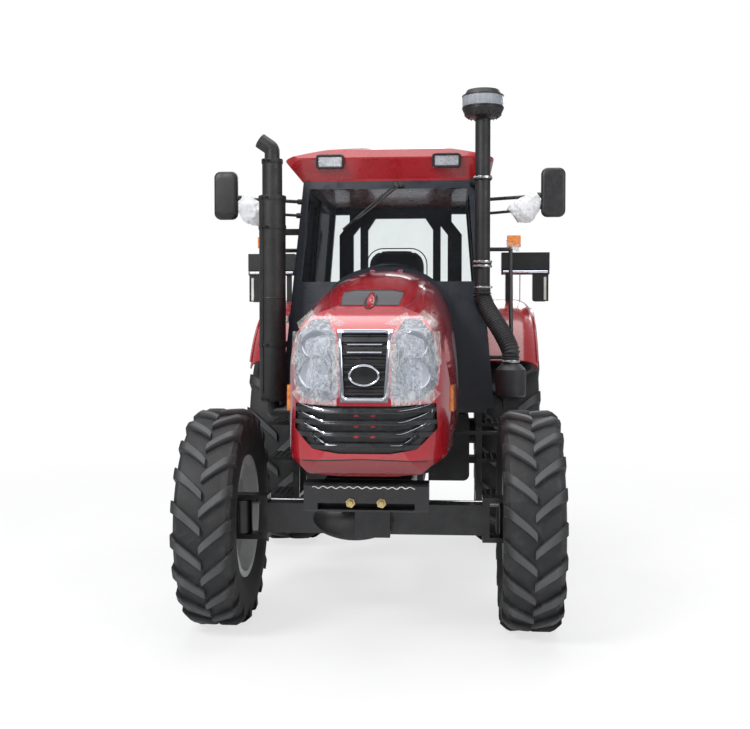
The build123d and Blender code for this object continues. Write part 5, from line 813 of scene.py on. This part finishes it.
def add_band(bm, centre, radius, width, bolt):
    """A clamp round an upright pipe, with its bolt on the side named."""
    axis = (0, 0, 1)
    add_turned(bm, [(radius - 0.004, -width / 2), (radius + 0.0025, -width / 2), (radius + 0.0035, 0.0),
                    (radius + 0.0025, width / 2), (radius - 0.004, width / 2)], centre, axis, 48)
    out = Vector(bolt).normalized()
    spot = Vector(centre) + out * (radius + 0.010)
    turn = Vector(axis).cross(out).normalized()
    for end in (-1, 1):
        add_turned(bm, [(0.008, -0.004), (0.008, 0.004)], spot + turn * 0.013 * end, turn, 12)
    add_turned(bm, [(0.0035, -0.026), (0.0035, 0.026)], spot, turn, 10)
    add_turned(bm, [(0.007, 0.0), (0.007, 0.007), (0.001, 0.008)], spot + turn * 0.024, turn, 6)


bm = bmesh.new()
for z in (2.530, 2.012, 1.985):
    add_band(bm, (*INTAKE, z), 0.0565, 0.014, (-0.6, -1, 0))
add_band(bm, (*INTAKE, 1.855), 0.0515, 0.012, (0.6, -1, 0))
add_band(bm, (*CLEANER, 1.402), 0.0515, 0.012, (-0.6, -1, 0))
piece_from("intake_bands", bm, "steel", "root", 0.8)
bm = bmesh.new()
add_turned(bm, [(0.060, -0.006), (0.1262, 0.0), (0.1275, 0.010), (0.1275, 0.058), (0.1262, 0.066),
                (0.06, 0.070)],
           (*INTAKE, 2.965), (0, 0, 1), 72)
piece_from("bowl_window", bm, "bowl", "root")
bm = bmesh.new()
for z in (2.958, 3.030):
    add_turned(bm, [(0.118, -0.005), (0.1285, -0.004), (0.1295, 0.0), (0.1285, 0.004), (0.118, 0.005)],
               (*INTAKE, z), (0, 0, 1), 72)
for turn in turns(18):
    spot = Vector((INTAKE[0] + 0.088 * math.cos(turn), INTAKE[1] + 0.088 * math.sin(turn), 2.897))
    tip = spot + Vector((0.030 * math.cos(turn + 0.5), 0.030 * math.sin(turn + 0.5), 0.022))
    add_tube(bm, [spot, tip], 0.003, 6)
piece_from("bowl_rings", bm, "trim", "root")
bm = bmesh.new()
for z, radius in ((1.165, 0.082), (1.50, 0.082), (2.225, 0.082), (2.405, 0.082), (2.632, 0.062)):
    add_band(bm, (*EXHAUST, z), radius + 0.001, 0.026, (-0.5, -1, 0))
add_turned(bm, [(0.080, 0.0), (0.0835, 0.004), (0.0835, 0.010), (0.080, 0.014)], (*EXHAUST, 1.78), (0, 0, 1),
           48)
piece_from("exhaust_bands", bm, "exhaust", "root", 0.8)
bm = bmesh.new()
seam_x, seam_y = EXHAUST[0] + 0.0845 * math.cos(-2.2), EXHAUST[1] + 0.0845 * math.sin(-2.2)
add_tube(bm, [(seam_x, seam_y, 1.20), (seam_x, seam_y, 2.38)], 0.0035, 8)
piece_from("exhaust_seam", bm, "exhaust", "root")

# Mirrors: glass towards the driver, rounded housings and packing bags on the arms
for side, word in SIDES:
    bm = bmesh.new()
    loops = []
    for share, y in ((0.70, -0.3372), (0.86, -0.3360), (0.95, -0.331), (0.99, -0.322), (1.0, -0.308),
                     (1.0, -0.297)):
        loops.append(rounded_outline(0.0755 * share, -0.154 * share, 0.154 * share, 0.040 * share,
                                     lambda a, b: (side * (MIRROR_X + a), y, MIRROR_Z + b)))
    add_loops(bm, loops)
    piece_from(f"mirror_cover_{word}", bm, "trim", "root", 0.9)
    bm = bmesh.new()
    add_loops(bm, [rounded_outline(half, -half - 0.078, half + 0.078, 0.034,
                                   lambda a, b: (side * (MIRROR_X + a), y, MIRROR_Z + b))
                   for half, y in ((0.067, -0.2975), (0.067, -0.2935), (0.064, -0.2925))])
    piece_from(f"mirror_glass_{word}", bm, "mirror", "root", 0.5)
    bm = bmesh.new()
    start, end = Vector((side * 0.79, -0.30, 2.315)), Vector((side * 0.945, -0.32, 2.43))
    loops = []
    for i in range(29):
        t = i / 28
        middle = start.lerp(end, t) + Vector((0, 0, -0.022 * math.sin(math.pi * t)))
        along = (end - start).normalized()
        across = along.orthogonal().normalized()
        other = along.cross(across)
        size = 0.028 + 0.050 * math.sin(math.pi * min(1.0, 0.12 + t * 0.85)) ** 0.7
        ring = []
        for turn in turns(40):
            place = middle + (across * math.cos(turn) + other * math.sin(turn)) * size
            ring.append(place + shake(place, 16.0, 0.016, side * 4.0) + shake(place, 42.0, 0.007, side * 2.0))
        loops.append(ring)
    add_loops(bm, loops)
    piece_from(f"arm_bag_{word}", bm, "bag", "root", 3.0)
    bm = bmesh.new()
    loops = []
    for i in range(15):
        t = i / 14
        x = side * (0.755 + 0.075 * t)
        ring = []
        for turn in turns(28):
            place = Vector((x, -0.254 + 0.034 * math.cos(turn), 2.135 + 0.030 * math.sin(turn) - 0.012 * t))
            ring.append(place + shake(place, 30.0, 0.010, side * 7.0))
        loops.append(ring)
    add_loops(bm, loops)
    piece_from(f"marker_bag_{word}", bm, "film", "root", 3.0)
bm = bmesh.new()
for side in (1, -1):
    add_tube(bm, bow([(side * 0.560, -0.232, 2.420), (side * 0.70, -0.262, 2.425),
                      (side * 0.90, -0.305, 2.432),
                      (side * 0.985, -0.318, 2.440)], 8), 0.011, 14)
    add_tube(bm, bow([(side * 0.567, -0.246, 2.330), (side * 0.72, -0.275, 2.338),
                      (side * 0.90, -0.308, 2.352),
                      (side * 0.985, -0.318, 2.375)], 8), 0.009, 14)
    for x, z in ((0.575, 2.420), (0.582, 2.331), (0.955, 2.438), (0.955, 2.365)):
        add_turned(bm, [(0.012, -0.016), (0.017, -0.014), (0.017, 0.014), (0.012, 0.016)],
                   (side * x, -0.235 - (x - 0.56) * 0.205, z), (1, -side * 0.2, 0), 20)
arms = piece_from("mirror_arms", bm, "trim", "root", 0.8)
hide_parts("mirrors")

# Windscreen wiper on its two arms
def screen_point(x, z, out):
    """A place this far in front of the windscreen."""
    return Vector((x, CAB_FRONT_Y + math.tan(math.radians(8.65)) * (z - CAB_FLOOR_Z) - out, z))


bm = bmesh.new()
for shift in (0.0, 0.028):
    add_tube(bm, [screen_point(0.045 + shift, 2.522, 0.020), screen_point(0.02 + shift, 2.500, 0.030),
                  screen_point(-0.13 + shift, 2.375, 0.026),
                  screen_point(-0.215 + shift * 0.6, 2.300, 0.020)], 0.0065, 8)
add_tube(bm, [screen_point(-0.03, 2.462, 0.016), screen_point(-0.29, 2.235, 0.016)], 0.0045, 8, flat=2.2)
add_tube(bm, [screen_point(-0.03, 2.462, 0.009), screen_point(-0.29, 2.235, 0.009)], 0.0028, 6, flat=2.6)
for x, z in ((-0.08, 2.418), (-0.16, 2.348), (-0.24, 2.279)):
    add_tube(bm, [screen_point(x, z, 0.012), screen_point(x, z, 0.024)], 0.007, 8)
add_turned(bm, [(0.020, 0.0), (0.020, 0.020), (0.014, 0.026), (0.001, 0.027)],
           screen_point(0.050, 2.522, 0.005),
           (0, -1, 0.15), 24)
add_turned(bm, [(0.016, 0.0), (0.016, 0.016), (0.001, 0.018)], screen_point(0.078, 2.522, 0.005),
           (0, -1, 0.15), 20)
piece_from("screen_wiper", bm, "trim", "root")

# Doors: pale handles in dark dishes
WALL_SLOPE = math.tan(math.radians(4.7))
HANDLE_Z = 1.66


def wall_x(z, out):
    """How far out the cab's side is at a height, and this much more."""
    return 0.672 - WALL_SLOPE * (z - CAB_FLOOR_Z) + out


for side, word in SIDES:
    bm = bmesh.new()
    loops = []
    for k in range(9):
        arch = math.sin(math.pi * k / 8)
        x = wall_x(HANDLE_Z, 0.012 + 0.026 * arch ** 0.6)
        y = -0.315 + 0.100 * k / 8
        size = 0.010 + 0.014 * arch ** 0.5
        loops.append([Vector((side * (x + 0.010 * math.cos(a)), y, HANDLE_Z + size * math.sin(a)))
                      for a in turns(20)])
    add_loops(bm, loops)
    piece_from(f"door_handle_{word}", bm, "pale", f"door_{word}", 1.2)
    bm = bmesh.new()
    add_tube(bm, [(side * wall_x(HANDLE_Z, 0.004), -0.265 + 0.060 * math.cos(a),
                   HANDLE_Z + 0.036 * math.sin(a))
                  for a in turns(32)], 0.008, 8, True)
    piece_from(f"handle_dish_{word}", bm, "trim", f"door_{word}")

# Front bracket: two plated bolts, and a light scratch along its edge
bm = bmesh.new()
for side in (1, -1):
    add_turned(bm, [(0.024, -0.001), (0.024, 0.004), (0.016, 0.005), (0.016, 0.017), (0.0136, 0.020),
                    (0.001, 0.0205)],
               (side * 0.075, -1.935, 0.750), (0, -1, 0), 6)
piece_from("bracket_bolts", bm, "brass", "root", 0.4)
bm = bmesh.new()
line = []
for i in range(121):
    x = -0.262 + 0.50 * i / 120
    wave = 0.0045 * math.sin(i * 0.62) + 0.003 * turbulence.noise(Vector((x * 30, 0.4, 0.1)))
    line.append((x, -1.9352, 0.824 + wave))
add_tube(bm, line, [0.0016 + 0.0012 * abs(turbulence.noise(Vector((i * 0.3, 2.0, 0.0))))
                    for i in range(121)], 6)
piece_from("bracket_scratch", bm, "pale", "root")

# Fenders: rolled outer edge
bm = bmesh.new()
for side in (1, -1):
    line = []
    for k in range(61):
        turn = math.radians(-54 + 114 * k / 60)
        y, z = math.sin(turn), math.cos(turn)
        found = cast(["rear_fenders"], (side * 0.985, REAR_AXLE_Y + y * 1.3, REAR_AXLE_Z + z * 1.3),
                     (0, -y, -z))
        if found:
            line.append(Vector((side * 0.992, found[0].y, found[0].z)))
    add_tube(bm, line, 0.0085, 10)
piece_from("fender_edges", bm, "fender", "root")

# Rear lamp clusters: bright bar, pale rod and strip in front, lenses behind
bm = bmesh.new()
for side in (1, -1):
    add_tube(bm, [(side * x, 0.772, 2.022) for x in (0.78, 0.86, 0.94, 1.02, 1.105)], 0.011, 12)
piece_from("lamp_bars", bm, "chrome", "root")
bm = bmesh.new()
for side in (1, -1):
    add_beside(bm, side, (1.078, 1.096), (0.7765, 1.815), (0.783, 1.985), 0.002)
    add_tube(bm, [(side * 0.905, 0.80, 1.80), (side * 0.905, 0.80, 2.01)], 0.0045, 8)
piece_from("lamp_strips", bm, "pale", "root")
bm = bmesh.new()
for side in (1, -1):
    add_beside(bm, side, (1.012, 1.10), (0.866, 1.900), (0.876, 1.995), 0.004)
    add_beside(bm, side, (0.80, 0.90), (0.866, 2.060), (0.876, 2.145), 0.004)
piece_from("tail_lenses", bm, "red_lens", "root")
bm = bmesh.new()
for side in (1, -1):
    add_beside(bm, side, (1.012, 1.10), (0.866, 1.805), (0.876, 1.892), 0.004)
piece_from("turn_lenses", bm, "amber", "root")

# Steps: raised treads
bm = bmesh.new()
for side in (1, -1):
    for z in (0.520, 0.760, 0.985):
        found = cast(["steps"], (side * 0.66, -0.22, z + 0.06), (0, 0, -1))
        top = found[0].z if found else z + 0.01
        for i in range(5):
            for k in range(9):
                spot = (side * (0.585 + 0.037 * i), -0.365 + 0.036 * k + 0.018 * (i % 2), top - 0.001)
                add_turned(bm, [(0.009, 0.0), (0.008, 0.004), (0.005, 0.005), (0.001, 0.005)], spot,
                           (0, 0, 1), 10)
piece_from("step_treads", bm, "black", "root")

# Roof lamps: dark frames and reflectors
bm = bmesh.new()
inner = bmesh.new()
for side in (1, -1):
    x, z = side * 0.372, 2.668
    found = cast(["roof_lamps"], (x, -1.2, z), (0, 1, 0))
    y = found[0].y if found else -0.29
    frame_edge = walk([(-0.083, -0.039), (0.083, -0.039), (0.083, 0.039), (-0.083, 0.039)], 12, 1)
    add_tube(bm, [(x + a, y - 0.002, z + b) for a, b in frame_edge], 0.0085, 8, True)
    for shift in (-0.035, 0.035):
        add_turned(inner, [(0.030, 0.004), (0.028, 0.010), (0.018, 0.022), (0.001, 0.028)],
                   (x + shift, y - 0.002, z), (0, 1, 0), 28)
piece_from("roof_lamp_frames", bm, "trim", "root")
piece_from("roof_lamp_reflectors", inner, "chrome", "root")

# Operator's seat: blown-up cushions on a bellows base
def grown_mesh(piece, cap):
    """Puffs a closed piece up as sewn fabric and keeps the result on its mesh."""
    remesh = piece.modifiers.new("even", "REMESH")
    remesh.mode = "VOXEL"
    remesh.voxel_size = 0.0075
    view = bpy.context.evaluated_depsgraph_get()
    even = bpy.data.meshes.new_from_object(piece.evaluated_get(view))
    piece.modifiers.clear()
    piece.data = even
    start = [v.co.copy() for v in even.vertices]
    cloth = piece.modifiers.new("fabric", "CLOTH")
    cloth.settings.use_pressure = True
    cloth.settings.uniform_pressure_force = 4.0
    cloth.settings.effector_weights.gravity = 0.0
    for step in range(1, 21):
        SCENE.frame_set(step)
    view = bpy.context.evaluated_depsgraph_get()
    blown = [v.co.copy() for v in piece.evaluated_get(view).data.vertices]
    piece.modifiers.clear()
    SCENE.frame_set(1)
    for vert, old, new in zip(even.vertices, start, blown):
        move = new - old
        vert.co = old + (move if move.length < cap else move * (cap / move.length))
    for face in even.polygons:
        face.use_smooth = True
    if not even.materials:
        even.materials.append(M["seat"])


def cushion(name, outline, depth, channels, cap):
    """A padded cushion with sewn channels, each as its axis, place and depth."""
    bm = bmesh.new()
    add_plate(bm, outline, depth, 0.030)
    piece = piece_from(name, bm, "seat", "root", 3.0)
    grown_mesh(piece, cap)
    for axis, place, deep in channels:
        for vert in piece.data.vertices:
            away = (vert.co[axis] - place) / 0.009
            vert.co -= vert.normal * deep * math.exp(-away * away)
    soft = piece.modifiers.new("smooth", "SUBSURF")
    soft.levels = soft.render_levels = 1


cushion("seat_cushion", rounded_outline(0.222, 0.325, 0.755, 0.07, lambda a, b: (a, b, 1.625)), (0, 0, 0.068),
        [(0, 0.125, 0.010), (0, -0.125, 0.010), (1, 0.50, 0.007)], 0.016)
cushion("seat_back", rounded_outline(0.215, 1.70, 2.190, 0.12, lambda a, b: (a, 0.688, b)), (0, 0.066, 0),
        [(0, 0.120, 0.009), (0, -0.120, 0.009), (2, 1.98, 0.007)], 0.016)
bm = bmesh.new()
found = cast(["cab_body", "cab_frame"], (0.05, 0.545, 1.58), (0, 0, -1))
rest = found[0].z if found else PLATFORM_Z
add_block(bm, (-0.130, 0.40, rest), (0.130, 0.690, rest + 0.03), 0.006)
loops = []
tall = 1.585 - rest - 0.03
for i in range(25):
    z = rest + 0.03 + tall * i / 24
    size = 0.105 + (0.012 if i % 2 else 0.0)
    loops.append([(size * 1.05 * c, 0.545 + size * 1.15 * s, z) for c, s in
                  rounded_outline(1.0, -1.0, 1.0, 0.25, lambda a, b: (a, b))])
add_loops(bm, loops)
add_block(bm, (-0.20, 0.34, 1.585), (0.20, 0.74, 1.618), 0.008)
for x in (0.15, -0.15):
    add_tube(bm, bow([(x, 0.70, 1.60), (x, 0.772, 1.64), (x, 0.772, 1.80)], 8), 0.012, 10)
frame_piece = piece_from("seat_frame", bm, "trim", "root", 0.8)
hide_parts("operator_seat")
bm = bmesh.new()
add_tube(bm, rounded_outline(0.226, 0.321, 0.759, 0.07, lambda a, b: (a * 1.05, b, 1.660)), 0.004, 8, True)
add_tube(bm, rounded_outline(0.222, 1.695, 2.194, 0.12, lambda a, b: (a, 0.721, b)), 0.004, 8, True)
piece_from("seat_piping", bm, "trim", "root")

# Inside the cab: instrument hood with round dials, column levers and side levers
bm = bmesh.new()
dials = bmesh.new()
found = cast(["dashboard"], (0.0, -0.10, 2.2), (0, 0, -1))
dash_z = found[0].z if found else 1.80
add_block(bm, (-0.16, -0.20, dash_z - 0.01), (0.16, -0.06, dash_z + 0.055), 0.020)
for x in (-0.09, 0.0, 0.09):
    add_turned(dials, [(0.036, 0.0), (0.038, 0.004), (0.034, 0.006), (0.033, 0.003), (0.001, 0.003)],
               (x, -0.0605, dash_z + 0.020), (0, 1, 0.25), 32)
for side in (1, -1):
    add_tube(bm, bow([(side * 0.03, 0.06, 1.86), (side * 0.10, 0.07, 1.87), (side * 0.17, 0.075, 1.885)], 6),
             0.005, 8)
for x, y, tall in ((0.36, 0.40, 0.24), (0.36, 0.50, 0.20), (-0.36, 0.42, 0.26), (-0.36, 0.52, 0.20),
                   (-0.36, 0.60, 0.18)):
    hit = cast(["cab_body", "cab_frame", "rear_fenders"], (x, y, 1.9), (0, 0, -1))
    foot = hit[0].z if hit else 1.30
    add_tube(bm, bow([(x, y, foot - 0.004), (x * 0.99, y - 0.01, foot + tall * 0.5),
                      (x * 0.97, y - 0.04, foot + tall)], 6), 0.006, 8)
    add_turned(bm, [(0.008, -0.01), (0.019, 0.008), (0.021, 0.024), (0.014, 0.038), (0.001, 0.042)],
               (x * 0.97, y - 0.04, foot + tall), (0, -0.1, 1), 20)
piece_from("cab_controls", bm, "trim", "root", 0.8)
piece_from("dash_dials", dials, "pale", "root", 0.8)

# Floor and background: white to the camera, with the object's shadow kept
floor_material, tree, shader = new_material("pale_floor")
shader.inputs["Roughness"].default_value = 0.9
grain = grey_ramp(tree, noise(tree, 3.0, 3.0), 0.3, 0.7, 0.80, 0.84)
tree.links.new(grain, shader.inputs["Base Color"])
glow = tree.nodes.new("ShaderNodeEmission")
glow.inputs["Color"].default_value = (1.0, 1.0, 1.0, 1.0)
place = tree.nodes.new("ShaderNodeTexCoord")
span = tree.nodes.new("ShaderNodeVectorMath")
span.operation = "LENGTH"
tree.links.new(place.outputs["Object"], span.inputs[0])
fade = tree.nodes.new("ShaderNodeMapRange")
settle(fade, {"From Min": 1.5, "From Max": 7.5, "To Min": 0.70, "To Max": 1.0})
fade.interpolation_type = "SMOOTHSTEP"
tree.links.new(span.outputs["Value"], fade.inputs["Value"])
amount = combine(tree, "MULTIPLY", seen_by_camera(tree), fade.outputs["Result"])
join_shaders(tree, amount, shader, glow)
bpy.ops.mesh.primitive_plane_add(size=120.0)
floor = bpy.context.object
floor.name = "floor"
floor.data.materials.append(floor_material)

world = bpy.data.worlds.new("studio")
SCENE.world = world
world.use_nodes = True
tree = world.node_tree
ambient = tree.nodes["Background"]
ambient.inputs["Strength"].default_value = 0.42
sky = tree.nodes.new("ShaderNodeTexCoord")
split = tree.nodes.new("ShaderNodeSeparateXYZ")
tree.links.new(sky.outputs["Generated"], split.inputs["Vector"])
band = ramp(tree, split.outputs["Z"], [(0.0, (0.55, 0.55, 0.56)), (0.25, (0.95, 0.96, 1.0)),
                                       (1.0, (0.85, 0.90, 1.0))])
tree.links.new(band, ambient.inputs["Color"])
white = tree.nodes.new("ShaderNodeBackground")
white.inputs["Color"].default_value = (1.0, 1.0, 1.0, 1.0)
join_shaders(tree, seen_by_camera(tree), ambient, white, "World Output")


def area_light(name, place, aim, size, power):
    light = bpy.data.lights.new(name, "AREA")
    light.shape = "RECTANGLE"
    light.size, light.size_y = size
    light.energy = power
    holder = bpy.data.objects.new(name, light)
    SCENE.collection.objects.link(holder)
    holder.location = place
    holder.rotation_euler = (Vector(aim) - Vector(place)).to_track_quat("-Z", "Y").to_euler()


area_light("key", (-4.5, -7.5, 7.0), (0.0, -0.8, 1.2), (3.0, 2.4), 620.0)
area_light("fill", (6.5, -6.0, 4.5), (0.0, -0.6, 1.2), (4.0, 3.0), 190.0)
area_light("top", (0.0, 0.0, 8.5), (0.0, 0.0, 1.0), (7.0, 7.0), 420.0)
area_light("back", (2.0, 7.5, 6.0), (0.0, 0.5, 1.5), (6.0, 4.0), 260.0)

# Camera at the photograph's viewing angle
yaw, pitch = math.radians(4.42), math.radians(-1.75)
forward = Vector((-math.sin(yaw) * math.cos(pitch), math.cos(yaw) * math.cos(pitch), math.sin(pitch)))
camera = bpy.data.objects.new("camera", bpy.data.cameras.new("camera"))
SCENE.collection.objects.link(camera)
camera.data.sensor_width = 36.0
camera.data.lens = 1030.0 / 750.0 * 36.0
camera.location = (0.426, FRONT_AXLE_Y - 5.5, 1.572)
camera.rotation_euler = forward.to_track_quat("-Z", "Y").to_euler()
SCENE.camera = camera
SCENE.view_settings.view_transform = "Standard"
